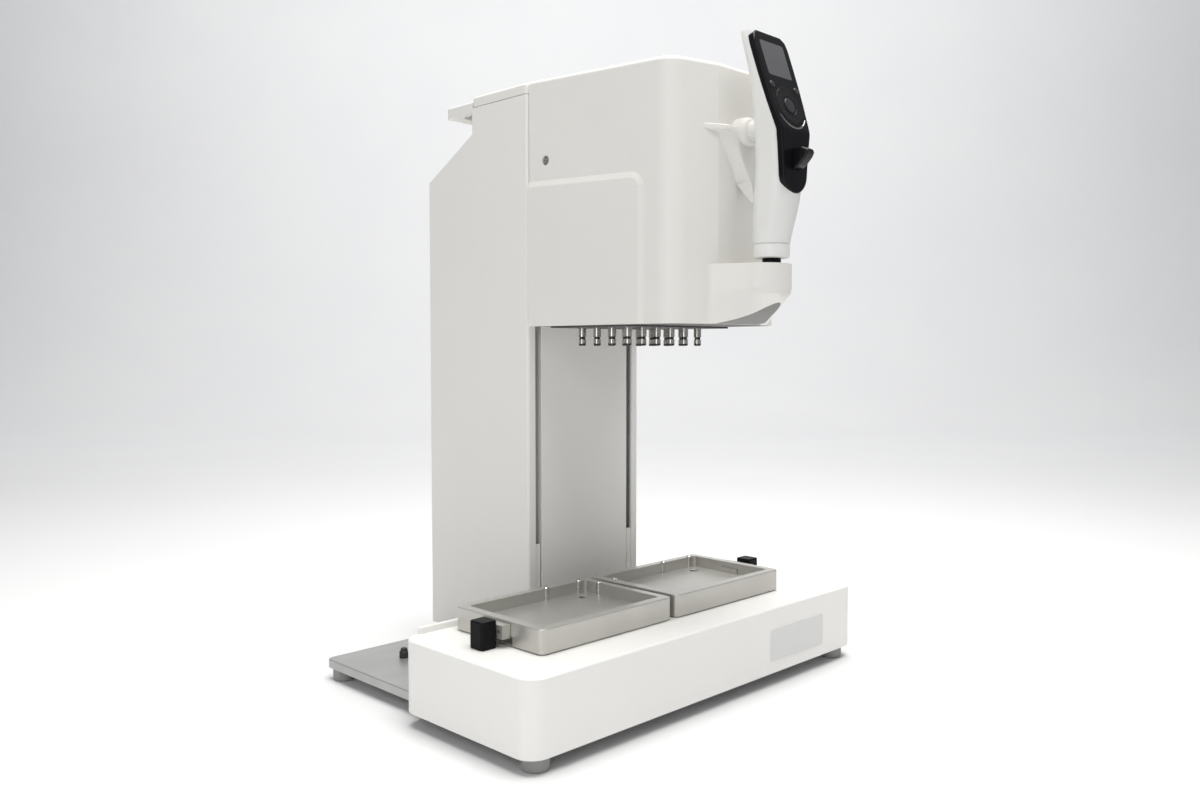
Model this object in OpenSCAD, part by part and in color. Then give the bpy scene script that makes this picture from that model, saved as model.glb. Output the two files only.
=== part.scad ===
// Bench pipetting workstation: base with two plate holders, a tower that slides sideways,
// a pipetting head that rides up and down on it, and an upright handset on the head.
// X right, Y back, Z up; the base stands on Z = 0. "v" is a distance behind the base's front face.

/* [Base] */
// Base housing width
base_w = 417; // [405:1:430]
// Base housing depth
base_d = 155.5; // [150:0.5:157]
// Height of the base housing's top
base_top = 69.6; // [64:0.2:76]
// Radius of the base housing's upright corners
base_r = 16; // [8:1:24]
// Wall of the base housing
base_wall = 3; // [2:0.5:4]
// Position of the base housing's front face
front_y = -110.2; // [-114:0.2:-105]
// Depth of the base plate behind the housing
plate_d = 144.1; // [138:0.1:148]
// Width of the base plate behind the housing
plate_w = 381; // [370:1:392]
// Base plate thickness
plate_t = 7.5; // [6:0.5:9]
// Foot height
foot_h = 10.9; // [8:0.1:11.4]
// Foot radius
foot_r = 10.5; // [8:0.5:12]

/* [Plate holders] */
// Holder length, across the bench
holder_w = 147; // [144:1:148]
// Holder depth
holder_d = 105; // [102:1:107]
// Holder height over the base
holder_h = 19.8; // [17:0.2:22]
// Gap between the two holders
holder_gap = 6; // [4:0.5:8]
// Middle of the pair of holders
pair_x = -14.2; // [-20:0.2:0]
// Front of the holders, behind the front face
holder_v = 37.7; // [34:0.1:40]
// Nest length for a microplate footprint
nest_w = 131; // [130.4:0.1:132]
// Nest depth for a microplate footprint
nest_d = 88.6; // [88:0.1:89.4]
// Height of the nest's walls
nest_h = 10; // [8:0.5:11]
// Outward travel of a holder's clamp
clamp_travel = 8; // [6:0.5:8]

/* [Tower] */
// Tower width
tower_w = 141.6; // [138:0.2:144]
// Gap between the base housing and the tower
tower_gap = 3.8; // [3.4:0.1:6]
// Depth of the tower
tower_d = 143.7; // [141:0.1:146]
// Lower edge of the covers
tower_z = 28.9; // [28.5:0.1:31]
// Where the back starts to lean forward
lean_z = 456.6; // [440:0.2:470]
// Where the lean ends
neck_z = 494; // [485:0.5:500]
// Depth of the narrow neck
neck_d = 76.5; // [74:0.5:80]
// Top of the covers, under the cap
tower_top = 517.5; // [512:0.5:522]
// Cap thickness
cap_h = 9.8; // [8:0.2:12]
// Cover thickness
skin = 2.5; // [2:0.1:3]
// Offset of the two guide slots from the middle
slot_x = 59; // [57:0.5:60]
// Guide slot width
slot_w = 6; // [5.6:0.1:7]
// Lower end of the open slots
slot_z = 123; // [110:1:135]
// Sideways travel to the left holder
travel_left = 90.6; // [84:0.2:92]
// Sideways travel to the right holder
travel_right = 62.2; // [58:0.2:64]

/* [Head] */
// Underside of the head
head_z = 316.6; // [310:0.2:322]
// Top of the head at the tower
head_top = 526; // [520:0.5:527]
// Drop of the top towards the front
head_drop = 9; // [4:0.5:12]
// Front flat of the head, behind the front face
head_v = -16.5; // [-19:0.5:-14]
// Half width of the front flat
flat_x = 26.5; // [22:0.5:30]
// Slope of the front's side facets
facet = 0.297; // [0.2:0.01:0.35]
// Step of the side panels
emboss = 1.6; // [1:0.1:2]
// Top of the side panels
emboss_top = 437; // [430:1:445]
// Downward travel of the head
travel_z = 170; // [120:5:180]

/* [Nozzles] */
// Nozzle pitch
pitch = 18; // [18:18:18]
// Columns
cols = 6; // [6:1:6]
// Rows
rows = 4; // [4:1:4]
// Middle of the nozzle field, behind the front face
field_v = 90.2; // [89.8:0.1:90.6]
// Nozzle end
nozzle_z = 299.7; // [296:0.1:302]
// Barrel radius
nozzle_r = 3.3; // [2.8:0.1:3.6]

/* [Handset] */
// Axis of the handset's foot, in front of the front face
grip_v = -48; // [-50:0.5:-46]
// Lean of the display
face_lean = 19; // [15:1:23]
// Height of the crease under the display
crease_z = 463; // [458:1:467]
// The display plane at the crease
crease_v = -69.9; // [-71:0.1:-68.6]
// Travel of the run button
run_travel = 2; // [1:0.5:2.5]

/* [Hidden] */
$fn = 96;
e = 0.01;
plate_top = foot_h + plate_t;
holder_top = base_top + holder_h;
nest_z = holder_top - nest_h;
holder_ax = pair_x - (holder_w + holder_gap) / 2;
holder_bx = pair_x + (holder_w + holder_gap) / 2;
holder_mid = holder_v + holder_d / 2;
tx = tower_w / 2;
tower_v = base_d + tower_gap;
tower_back = tower_v + tower_d;
neck_v = tower_v + neck_d;
plate_back = base_d + plate_d;
rail_v = [tower_v + 26.7, tower_v + 66];
rail_h = 6.4;
car_t = 6;
web_v = tower_v + 66.7;
screw_v = tower_v + 36.7;
screw_r = 5;
zrail_x = 30;
head_w = tower_w - 2 * emboss;
seam = 1;
head_back = tower_v - seam;
back_v = head_back - 1.7;
block_top = head_z + 35.4;
rod_x = cols * pitch / 2;
rod_v = rows * pitch / 2;
side_v = head_back - 20.8;
side_z = head_z + 141.1;
zrail_z = tower_z + 83.1;
zrail_l = tower_top - zrail_z - 35.5;
arm_z = head_z + 75.4;
arm_t = 4.4;
lug_half = 44.5;
stop_r = 4.2;
stop_gap = 0.2;
button_v = -84;
rock = 6.5;

function fy(v) = front_y + v;

// ---- shared shapes ----

// rounded slab from z = 0 with a chamfered top edge, centred in X and Y
module slab(w, d, h, r, c = 0) {
    for (sx = [-1, 1], sy = [-1, 1]) translate([sx * (w / 2 - r), sy * (d / 2 - r), 0]) {
        cylinder(r = r, h = h - c);
        if (c > 0) translate([0, 0, h - c]) cylinder(r1 = r, r2 = r - c, h = c);
    }
    rotate([90, 0, 0]) linear_extrude(d - 2 * r, center = true)
        polygon([[-w / 2, 0], [w / 2, 0], [w / 2, h - c], [w / 2 - c, h], [c - w / 2, h], [-w / 2, h - c]]);
    rotate([90, 0, 90]) linear_extrude(w - 2 * r, center = true)
        polygon([[-d / 2, 0], [d / 2, 0], [d / 2, h - c], [d / 2 - c, h], [c - d / 2, h], [-d / 2, h - c]]);
}

// outline in the Y-Z plane, extruded across X; points are [v, z]
module yz(x0, x1, pts) {
    translate([x0, front_y, 0]) rotate([90, 0, 90]) linear_extrude(x1 - x0) polygon(pts);
}

// box from corner to corner, with v for Y
module vbox(x0, x1, v0, v1, z0, z1) {
    translate([x0, fy(v0), z0]) cube([x1 - x0, v1 - v0, z1 - z0]);
}

// cylinder along Y, from v0 to v1
module ycyl(x, v0, v1, z, r) {
    translate([x, fy(v0), z]) rotate([-90, 0, 0]) cylinder(r = r, h = v1 - v0);
}

// linear guide rail along +X from the origin, foot at z = 0
module rail(len, w, h) {
    rotate([90, 0, 90]) linear_extrude(len)
        polygon([[-w / 2, 0], [w / 2, 0], [w / 2, h * 0.3], [w / 2 - 1.2, h * 0.46], [w / 2 - 1.2, h * 0.6],
            [w / 2, h * 0.78], [w / 2, h - 0.4], [w / 2 - 0.4, h], [0.4 - w / 2, h], [-w / 2, h - 0.4],
            [-w / 2, h * 0.78], [1.2 - w / 2, h * 0.6], [1.2 - w / 2, h * 0.46], [-w / 2, h * 0.3]]);
}

// ---- base ----

module base_plate() {
    color("silver") difference() {
        union() {
            translate([0, fy(76), foot_h]) slab(base_w - 2 * base_wall - 1, 145, plate_t, base_r - base_wall, 0.6);
            translate([0, fy((60 + plate_back) / 2), foot_h])
                slab(plate_w, plate_back - 60, plate_t, 6.3, 0.6);
        }
        // foot screws
        for (s = [-1, 1]) {
            translate([s * (base_w / 2 - 18), fy(15.5), 0]) cylinder(r = 2.6, h = plate_top - 2);
            translate([s * (plate_w / 2 - 12), fy(plate_back - 12), 0]) cylinder(r = 2.6, h = plate_top - 2);
        }
        // lightening windows under the housing
        for (s = [-1, 1]) translate([s * 120, fy(70), 0]) slab(110, 70, 40, 10);
    }
}

module feet() {
    color("gray") for (s = [-1, 1], p = [[base_w / 2 - 18, 15.5], [plate_w / 2 - 12, plate_back - 12]])
        translate([s * p[0], fy(p[1]), 0]) rotate_extrude()
            polygon([[4, 0], [foot_r - 1.2, 0], [foot_r, 1.2], [foot_r, foot_h - 1], [foot_r - 1, foot_h],
                [0, foot_h], [0, 5], [4, 5]]);
}

module base_housing() {
    h = base_top - foot_h - 1.1;
    bw = base_wall;
    lip = 5.2;
    color("white") {
        difference() {
            translate([0, fy(base_d / 2), foot_h + 1.1]) slab(base_w, base_d, h, base_r, 1.4);
            translate([0, fy(base_d / 2), 0])
                slab(base_w - 2 * bw, base_d - 2 * bw, base_top - bw, base_r - bw);
            // the plate leaves under the back wall
            vbox(-plate_w / 2 - 0.5, plate_w / 2 + 0.5, base_d - bw - 1, base_d + 1, 0, plate_top + 0.5);
            // holder screw holes
            for (hx = [holder_ax, holder_bx], sx = [-1, 1], sy = [-1, 1])
                translate([hx + sx * 48, fy(holder_mid) + sy * 30, base_top - 8]) cylinder(r = 2.1, h = 20);
            // seat of the front plate
            vbox(111.5 - 41.2, 111.5 + 41.2, -1, 0.4, 22.8, 51.2);
        }
        // raised rear lip
        yz(-(base_w / 2 - base_r), base_w / 2 - base_r,
            [[base_d - 4, base_top - 1], [base_d, base_top - 1], [base_d, base_top + lip - 0.8],
             [base_d - 0.8, base_top + lip], [base_d - 3.2, base_top + lip], [base_d - 4, base_top + lip - 0.8]]);
        // inner posts that stand on the plate, and cross ribs between them
        for (x = [-190, -60, 60, 190], v = [24, 108]) difference() {
            translate([x, fy(v), plate_top]) cylinder(r = 5, h = base_top - bw - plate_top + e);
            translate([x, fy(v), plate_top - 1]) cylinder(r = 1.6, h = 16);
        }
        for (x = [-60, 60]) vbox(x - 1.25, x + 1.25, 28, 104, base_top - bw - 14, base_top - bw + e);
        for (v = [24, 108]) vbox(-186, 186, v - 1.25, v + 1.25, base_top - bw - 8, base_top - bw + e);
    }
}

module label_plate() {
    color("white") translate([111.5, fy(0.4), 37]) rotate([90, 0, 0]) slab(82, 28, 0.9, 2, 0.3);
}

module x_rails() {
    color("silver") for (v = rail_v) difference() {
        translate([-149, fy(v), plate_top]) rail(289, 9, rail_h);
        for (i = [0 : 5]) translate([-129 + i * 50, fy(v), plate_top]) {
            translate([0, 0, -1]) cylinder(r = 1.75, h = 20);
            translate([0, 0, rail_h - 3]) cylinder(r = 3, h = 4);
        }
    }
}

module end_stops() {
    color("black") for (x = [-(travel_left + lug_half + stop_r + stop_gap), travel_right + lug_half + stop_r + stop_gap])
        translate([x, fy(tower_v + 92.5), plate_top]) rotate_extrude()
            polygon([[0, 0], [stop_r, 0], [stop_r, 5.4], [stop_r - 0.8, 6.2], [3, 6.2], [3, 8],
                [2.4, 8.6], [0, 8.6]]);
}

// ---- plate holders; dir is the side that carries the clamp ----

module holder(dir) {
    color("gray") difference() {
        union() {
            translate([0, 0, base_top + 1.2]) slab(holder_w, holder_d, holder_h - 1.2, 5, 0.8);
            translate([0, 0, base_top]) slab(holder_w - 4, holder_d - 4, 2, 4);
        }
        // nest
        translate([0, 0, nest_z]) slab(nest_w, nest_d, 40, 3);
        // locating pin pockets: two in the back wall, one opposite the clamp
        for (x = [19.5, 58.5]) translate([x, nest_d / 2 + 1, nest_z - 3]) cylinder(r = 2.65, h = 40);
        translate([-dir * (nest_w / 2 + 1), 27.5, nest_z - 3]) cylinder(r = 2.65, h = 40);
        // screws through the floor
        for (sx = [-1, 1], sy = [-1, 1]) translate([sx * 48, sy * 30, 0]) {
            translate([0, 0, base_top - 1]) cylinder(r = 2.1, h = 30);
            translate([0, 0, nest_z - 2.5]) cylinder(r1 = 2.1, r2 = 4.6, h = 2.5 + e);
        }
        // clamp slot and the recess under it
        translate([dir * (holder_w / 2 - 5), 0, nest_z + 2.45]) cube([24, 20.4, 4.9], center = true);
        translate([dir * holder_w / 2, 0, (base_top + 5.2)]) cube([18, 38, 6.4], center = true);
    }
}

module holder_a() { translate([holder_ax, fy(holder_mid), 0]) holder(-1); }
module holder_b() { translate([holder_bx, fy(holder_mid), 0]) holder(1); }

module holder_screws() {
    color("silver") for (hx = [holder_ax, holder_bx], sx = [-1, 1], sy = [-1, 1])
        translate([hx + sx * 48, fy(holder_mid) + sy * 30, 0]) difference() {
            union() {
                translate([0, 0, base_top - 7]) cylinder(r = 2, h = nest_z - 2 - base_top + 7);
                translate([0, 0, nest_z - 2]) cylinder(r1 = 2.05, r2 = 4.05, h = 2);
            }
            translate([0, 0, nest_z - 1.7]) cylinder(r = 1.6, h = 5, $fn = 6);
        }
}

module nest_pins() {
    color("silver") for (h = [[holder_ax, 1], [holder_bx, -1]]) translate([h[0], fy(holder_mid), 0]) {
        for (p = [[19.5, nest_d / 2 + 1], [58.5, nest_d / 2 + 1], [h[1] * (nest_w / 2 + 1), 27.5]])
            translate([p[0], p[1], nest_z - 3]) {
                cylinder(r = 2.6, h = nest_h + 3.4);
                translate([0, 0, nest_h + 3.4]) cylinder(r1 = 2.6, r2 = 1.8, h = 0.8);
            }
    }
}

// clamp slide: jaw and tongue through the wall, flange outside
module clamp(dir) {
    s = holder_w / 2;
    color("silver") difference() {
        union() {
            translate([dir * (s + 4.375), 0, holder_top - 7.3]) cube([8.05, 34, 10.6], center = true);
            // tongue, from the jaw's tip inside the nest out to the flange
            translate([dir * ((nest_w / 2 - 1.3) + s + 0.6) / 2, 0, nest_z + 2.35])
                cube([s + 0.6 - (nest_w / 2 - 1.3), 20, 4.5], center = true);
        }
        // cap screw beside the knob
        translate([dir * (s + 4), -12.4, holder_top - 7.3]) rotate([0, dir * 90, 0]) cylinder(r = 1.9, h = 6);
        translate([dir * (s + 4), 12.4, holder_top - 7.3]) rotate([0, dir * 90, 0]) cylinder(r = 1.9, h = 6);
    }
}

module clamp_knob(dir) {
    color("black") translate([dir * (holder_w / 2 + 8.4 + 7.5), -3.6, base_top + 0.7]) difference() {
        slab(15, 16, 21, 3, 1);
        for (s = [-1, 1], i = [-1 : 1]) translate([i * 3.2, s * 8, -1]) cylinder(r = 0.7, h = 18);
        for (i = [-1 : 1]) translate([dir * 7.5, i * 3.2, -1]) cylinder(r = 0.7, h = 18);
    }
}

module clamp_a() { translate([holder_ax, fy(holder_mid), 0]) clamp(-1); }
module clamp_a_knob() { translate([holder_ax, fy(holder_mid), 0]) clamp_knob(-1); }
module clamp_b() { translate([holder_bx, fy(holder_mid), 0]) clamp(1); }
module clamp_b_knob() { translate([holder_bx, fy(holder_mid), 0]) clamp_knob(1); }

// ---- tower ----

module x_carriage() {
    color("silver") difference() {
        union() {
            vbox(-tx + skin, tx - skin, tower_v + skin, tower_back - skin, tower_z, tower_z + car_t);
            // lug that meets the end stops
            vbox(-lug_half, lug_half, tower_v + 86.5, tower_v + 98.5, plate_top + 1.4, tower_z + e);
        }
        for (x = [-40, 40]) translate([x, fy(tower_v + 115), 0]) cylinder(r = 9, h = 60);
        translate([0, fy(screw_v + 50), tower_z - 20]) slab(60, 24.1, 60, 8);
    }
}

module rail_blocks() {
    color("dimgray") for (x = [-42, 42], v = rail_v) difference() {
        vbox(x - 15, x + 15, v - 10, v + 10, plate_top + 1.2, tower_z);
        vbox(x - 16, x + 16, v - 4.65, v + 4.65, 0, plate_top + rail_h + 0.25);
        for (sx = [-1, 1], sy = [-1, 1]) translate([x + sx * 11, fy(v) + sy * 7.4, tower_z - 3]) cylinder(r = 1.2, h = 4);
    }
}

module tower_frame() {
    w = 50;
    z0 = tower_z + car_t;
    z1 = tower_top - 10;
    color("silver") {
        difference() {
            vbox(-w, w, web_v, web_v + 3, z0, z1);
            for (z = [150, 240, 330, 420]) translate([0, fy(web_v) + 5, z]) rotate([90, 0, 0]) slab(28, 52, 10, 10);
        }
        for (s = [-1, 1]) vbox(s > 0 ? w - 3 : -w, s > 0 ? w : 3 - w, web_v + 3 - e, neck_v - skin, z0, z1);
        // foot flange and gussets
        vbox(-w, w, web_v + 3 - e, web_v + 34, z0, z0 + 4);
        for (s = [-1, 1]) yz(s * 36 - 1.5, s * 36 + 1.5,
            [[web_v + 3 - e, z0 + 4 - e], [web_v + 32, z0 + 4 - e], [web_v + 3 - e, z0 + 60]]);
        // top plate that carries the cap and both covers
        difference() {
            vbox(-tx + skin, tx - skin, tower_v + skin, neck_v - skin, z1, z1 + 4);
            translate([0, fy(screw_v), z1 - 1]) cylinder(r = 12, h = 10);
        }
        // motor shelf and upper bearing shelf
        difference() {
            vbox(-32, 32, screw_v - 29, web_v + e, 98, 102);
            translate([0, fy(screw_v), 90]) cylinder(r = screw_r - 1 + 0.06, h = 20);
        }
        difference() {
            vbox(-20, 20, screw_v - 15, web_v + e, 488, 500);
            translate([0, fy(screw_v), 480]) cylinder(r = screw_r - 1 + 0.06, h = 30);
        }
    }
}

module z_rails() {
    color("silver") for (s = [-1, 1]) difference() {
        translate([s * zrail_x, fy(web_v), zrail_z]) rotate([90, -90, 0]) rail(zrail_l, 12, 7);
        for (i = [0 : 6]) translate([s * zrail_x, fy(web_v) + 1, zrail_z + 24 + i * 54]) rotate([90, 0, 0]) {
            cylinder(r = 2, h = 12);
            translate([0, 0, 5.4]) cylinder(r = 3.6, h = 6);
        }
    }
}

module z_motor() {
    color("dimgray") {
        translate([0, fy(screw_v), 44]) slab(54, 54, 48, 5);
        translate([0, fy(screw_v), 38]) slab(48, 48, 6 + e, 5);
        difference() {
            translate([0, fy(screw_v), 92 - e]) slab(54, 54, 6 + e, 5);
            translate([0, fy(screw_v), 92 - 2]) cylinder(r = screw_r, h = 30);
        }
        vbox(-12, 12, screw_v + 27 - e, screw_v + 29.5, 40, 54);
    }
}

module power_supply() {
    v0 = neck_v - skin;
    z0 = 112;
    color("silver") difference() {
        vbox(-49.5, 49.5, v0, v0 + 34, z0, z0 + 150);
        for (i = [0 : 11], s = [-1, 1]) translate([s * 22, fy(v0) + 37, z0 + 24 + i * 9]) rotate([90, 0, 0])
            slab(34, 4, 8, 1.9);
        vbox(-44, 44, v0 + 28, v0 + 40, z0 - 1, z0 + 12);
    }
    // terminals on the open ledge
    color("black") for (i = [-3 : 3]) vbox(i * 11 - 4, i * 11 + 4, v0 + 28 - e, v0 + 33, z0 + 1, z0 + 9);
}

// side cover: flat side with a front return up to the slot, cut to the leaning back
module tower_side() {
    r = 3.5;
    color("white") difference() {
        translate([0, front_y, tower_z]) linear_extrude(tower_top - tower_z) difference() {
            union() {
                translate([slot_x + slot_w / 2, tower_v]) square([tx - slot_x - slot_w / 2 - r, skin]);
                translate([tx - skin, tower_v + r]) square([skin, tower_back - tower_v - r]);
                translate([tx - r, tower_v + r]) difference() {
                    circle(r = r);
                    circle(r = r - skin);
                    translate([-2 * r, -r]) square([2 * r, 2 * r]);
                    translate([-r, 0]) square([2 * r, 2 * r]);
                }
            }
        }
        yz(tx - 20, tx + 5, [[tower_back + 1, lean_z], [tower_back, lean_z], [neck_v, neck_z],
            [neck_v, tower_top + 1], [tower_back + 1, tower_top + 1]]);
    }
}

module tower_side_right() { tower_side(); }
module tower_side_left() { mirror([1, 0, 0]) tower_side(); }

module tower_front() {
    w = slot_x - slot_w / 2;
    r = skin / 2;
    color("white") {
        translate([0, front_y, tower_z]) linear_extrude(tower_top - tower_z) {
            translate([-w + r, tower_v]) square([2 * w - 2 * r, skin]);
            for (s = [-1, 1]) translate([s * (w - r), tower_v + r]) circle(r = r);
        }
        // folded edges behind the slots
        for (s = [-1, 1]) vbox(s > 0 ? w - 3.5 : 2 - w, s > 0 ? w - 2 : 3.5 - w, tower_v + skin - e,
            tower_v + skin + 7, tower_z + car_t + 0.3, tower_top - 10.3);
    }
}

module slot_fillers() {
    color("white") for (s = [-1, 1])
        vbox(s * slot_x - slot_w / 2, s * slot_x + slot_w / 2, tower_v + 0.9, tower_v + skin, tower_z, slot_z);
}

module tower_back_cover() {
    x = tx - skin;
    color("white") difference() {
        yz(-x, x, [[tower_back, tower_z], [tower_back, lean_z], [neck_v, neck_z], [neck_v, tower_top],
            [neck_v - skin, tower_top], [neck_v - skin, neck_z - 0.72 * skin],
            [tower_back - skin, lean_z - 0.72 * skin], [tower_back - skin, tower_z]]);
        // window for the connector panel
        vbox(-60, 61, tower_back - 9, tower_back + 5, 52, 86);
        // cooling slots
        for (i = [0 : 9], s = [-1, 1]) translate([s * 26, fy(tower_back) + 4, 300 + i * 9]) rotate([90, 0, 0])
            slab(40, 3.4, 12, 1.65);
        for (s = [-1, 1], z = [42, 130, 280, 446]) ycyl(s * 61, tower_back - 9, tower_back + 1, z, 1.6);
    }
}

// plate with the inlet, the switch and the ports, its flange behind the cover's window
module connector_panel() {
    color("silver") difference() {
        union() {
            vbox(-59.7, 60.7, tower_back - skin - e, tower_back, 52.3, 85.7);
            vbox(-63, 64, tower_back - skin - 1.5, tower_back - skin, 49, 89);
        }
        vbox(-52, -22, tower_back - 9, tower_back + 5, 58, 80);
        vbox(-10, 12, tower_back - 9, tower_back + 5, 58, 80);
        for (x1 = [26, 44]) vbox(x1, x1 + 13, tower_back - 9, tower_back + 5, 63, 75);
    }
}

module tower_cap() {
    d = neck_v - tower_v;
    color("white") {
        translate([0, fy(tower_v + d / 2), tower_top + 0.7]) slab(tower_w, d, cap_h - 0.7, 4, 2);
        translate([0, fy(tower_v + d / 2), tower_top]) slab(tower_w - 2.4, d - 2.4, 1, 3);
    }
}

module rear_handle() {
    z1 = tower_top + cap_h - 3.8;
    v1 = neck_v + 39.6;
    color("white") difference() {
        translate([0, fy((neck_v + v1) / 2 - 10), z1 - 10.4]) slab(tower_w, v1 - neck_v + 20, 10.4, 5, 1.6);
        vbox(-100, 100, neck_v - 40, neck_v, z1 - 20, z1 + 5);
        // finger groove underneath
        translate([0, fy(neck_v + 15), z1 - 15]) slab(tower_w - 12, 18, 8.6 + 1.6, 8.6);
    }
}

module back_screws() {
    color("silver") for (s = [-1, 1], z = [42, 130, 280, 446]) difference() {
        union() {
            ycyl(s * 61, tower_back - 4, tower_back, z, 1.5);
            translate([s * 61, fy(tower_back), z]) rotate([-90, 0, 0]) rotate_extrude()
                polygon([[0, 0], [2.8, 0], [2.8, 0.7], [2, 1.4], [0, 1.4]]);
        }
        translate([s * 61, fy(tower_back) + 0.5, z]) rotate([-90, 0, 0]) cylinder(r = 1, h = 3, $fn = 6);
    }
}

module power_inlet() {
    color("black") difference() {
        union() {
            vbox(-56, -18, tower_back, tower_back + 0.5, 55, 83);
            vbox(-52, -22, tower_back - 20, tower_back + e, 58, 80);
        }
        vbox(-49.5, -24.5, tower_back - 17, tower_back + 3, 61, 77);
    }
}

module inlet_pins() {
    color("gold") {
        for (x = [-44, -30]) vbox(x - 1, x + 1, tower_back - 17, tower_back - 6.5, 65, 69);
        vbox(-38, -36, tower_back - 17, tower_back - 5.5, 69, 73);
    }
}

module switch_frame() {
    color("black") difference() {
        union() {
            vbox(-13, 15, tower_back, tower_back + 0.5, 55, 83);
            vbox(-10, 12, tower_back - 16, tower_back + e, 58, 80);
        }
        vbox(-7.5, 9.5, tower_back - 12, tower_back + 3, 60, 78);
    }
}

// rocker on a cross pin; its outer face is a shallow V, at rest with the lower end pressed in
module switch_rocker() {
    color("black") translate([0, fy(tower_back - 6), 69]) rotate([-rock, 0, 0]) {
        translate([-7, 0, 0]) rotate([90, 0, 90]) linear_extrude(16)
            polygon([[-2, -6.6], [5.4, -8], [4.7, 0], [5.4, 8], [-2, 6.6]]);
        translate([-7.45, 0, 0]) rotate([0, 90, 0]) cylinder(r = 1.2, h = 16.9);
    }
}

module data_ports() {
    color("silver") for (x = [26, 44]) difference() {
        vbox(x, x + 13, tower_back - 16, tower_back + 0.3, 63, 75);
        vbox(x + 1.5, x + 11.5, tower_back - 12, tower_back + 3, 64.5, 73.5);
    }
}

module lead_screw() {
    color("silver") translate([0, fy(screw_v), 0]) rotate_extrude() {
        polygon([[0, 92.3], [screw_r - 1, 92.3], [screw_r - 1, 102.4], [9, 102.4], [9, 124], [screw_r + 1, 125.5],
            [screw_r, 126.5], [screw_r, 487.6], [screw_r - 1, 487.6], [screw_r - 1, 503], [0, 503]]);
    }
}

// ---- head ----

module z_carriage() {
    z0 = arm_z;
    z1 = arm_z + 88;
    color("silver") difference() {
        union() {
            vbox(-61.2, 61.2, web_v - 20, web_v - 12, z0, z1);
            // saddles on the two rails
            for (s = [-1, 1], z = [z0 + 4, z1 - 34]) difference() {
                vbox(s * zrail_x - 14, s * zrail_x + 14, web_v - 12 - e, web_v - 1.4, z, z + 30);
                vbox(s * zrail_x - 6.2, s * zrail_x + 6.2, web_v - 7.3, web_v + 4, z - 1, z + 31);
            }
            // nut
            vbox(-17, 17, screw_v - 10, web_v - 20 + e, z0 + 28, z0 + 60);
            // arms through the slots
            for (s = [-1, 1]) difference() {
                yz(s * slot_x - arm_t / 2, s * slot_x + arm_t / 2,
                    [[back_v, z0 - 22], [web_v - 20 + e, z0], [web_v - 20 + e, z1], [back_v, z1]]);
                translate([s * slot_x + 5, fy(screw_v - 16), z0 + 32]) rotate([0, -90, 0]) slab(46, 24, 10, 8);
            }
        }
        translate([0, fy(screw_v), z0 - 5]) cylinder(r = screw_r + 0.08, h = 200);
        for (x = [-45, 0, 45]) ycyl(x, web_v - 26, web_v - 6, z0 + 13, 5);
        for (x = [-45, 45]) ycyl(x, web_v - 26, web_v - 6, z0 + 74, 5);
    }
}

// plan of the head: flat nose front, two facets and rounded corners
module head_plan(hw, ff, fx, cr, back) {
    yc = ff + facet * (hw - fx);
    n = sqrt(1 + facet * facet);
    th = 90 + atan(facet);
    l = cr / tan(th / 2);
    t = [hw - l / n, yc - l * facet / n];
    polygon([[hw, back], [hw, yc + l], t, [fx, ff], [-fx, ff], [-t[0], t[1]], [-hw, yc + l], [-hw, back]]);
    for (s = [-1, 1]) translate([s * (hw - cr), yc + l]) circle(r = cr);
}

// solid head, from the underside to the falling top; all faces moved in by "in"
module head_solid(in) {
    hw = head_w / 2 - in;
    ff = head_v + in;
    d = head_back - head_v;
    a = atan(head_drop / d);
    r = 6 - in;
    zf = head_top - head_drop - in;
    intersection() {
        translate([0, front_y, head_z - (in > 0 ? 1 : 0)]) linear_extrude(300)
            head_plan(hw, ff, flat_x - in * 0.15, 14 - in, head_back + (in > 0 ? 1 : 0));
        // falling top with a rounded front edge
        translate([-100, front_y, 0]) rotate([90, 0, 90]) linear_extrude(200) union() {
            zc = zf + (r + in) * tan(a) - r / cos(a);
            polygon([[head_back + 2, head_z - 5], [ff, head_z - 5], [ff, zc],
                [ff + r - r * sin(a), zc + r * cos(a)], [head_back + 2, zf + (head_back + 2 - head_v) * tan(a)]]);
            translate([ff + r, zc]) circle(r = r);
        }
        // rounded top edges along both sides
        translate([0, fy(head_v), zf]) rotate([90 + a, 0, 0]) translate([0, 0, -d - 5]) linear_extrude(d + 30) union() {
            translate([-hw, -260]) square([2 * hw, 260 - r]);
            translate([-hw + r, -20]) square([2 * hw - 2 * r, 20]);
            for (s = [-1, 1]) translate([s * (hw - r), -r]) circle(r = r);
        }
    }
}

// raised lower side panel; the front top corner is rounded
module side_panel(s) {
    h = emboss_top - head_z;
    d = head_back - 21;
    translate([s * (head_w / 2 - e), 0, 0]) intersection() {
        translate([0, fy(21 + d / 2 + 20), head_z + h / 2 - 20]) rotate([90, 0, 0]) rotate([0, s * 90, 0])
            slab(d + 40, h + 40, emboss + e, 11, 1.3);
        vbox(-5, 5, 0, head_back, head_z, emboss_top + 5);
    }
}

module head_cover() {
    color("white") difference() {
        union() {
            head_solid(0);
            side_panel(1);
            side_panel(-1);
        }
        difference() {
            head_solid(skin);
            // boss rings behind the side screws
            for (s = [-1, 1]) translate([s * (head_w / 2 - skin - 2), fy(side_v), side_z]) rotate([0, s * 90, 0])
                cylinder(r = 7, h = 5);
        }
        for (s = [-1, 1]) translate([s * (head_w / 2 - 10), fy(side_v), side_z]) rotate([0, s * 90, 0]) {
            cylinder(r = 2.2, h = 20);
            translate([0, 0, 7.6]) cylinder(r = 4.3, h = 12);
        }
    }
}

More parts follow.
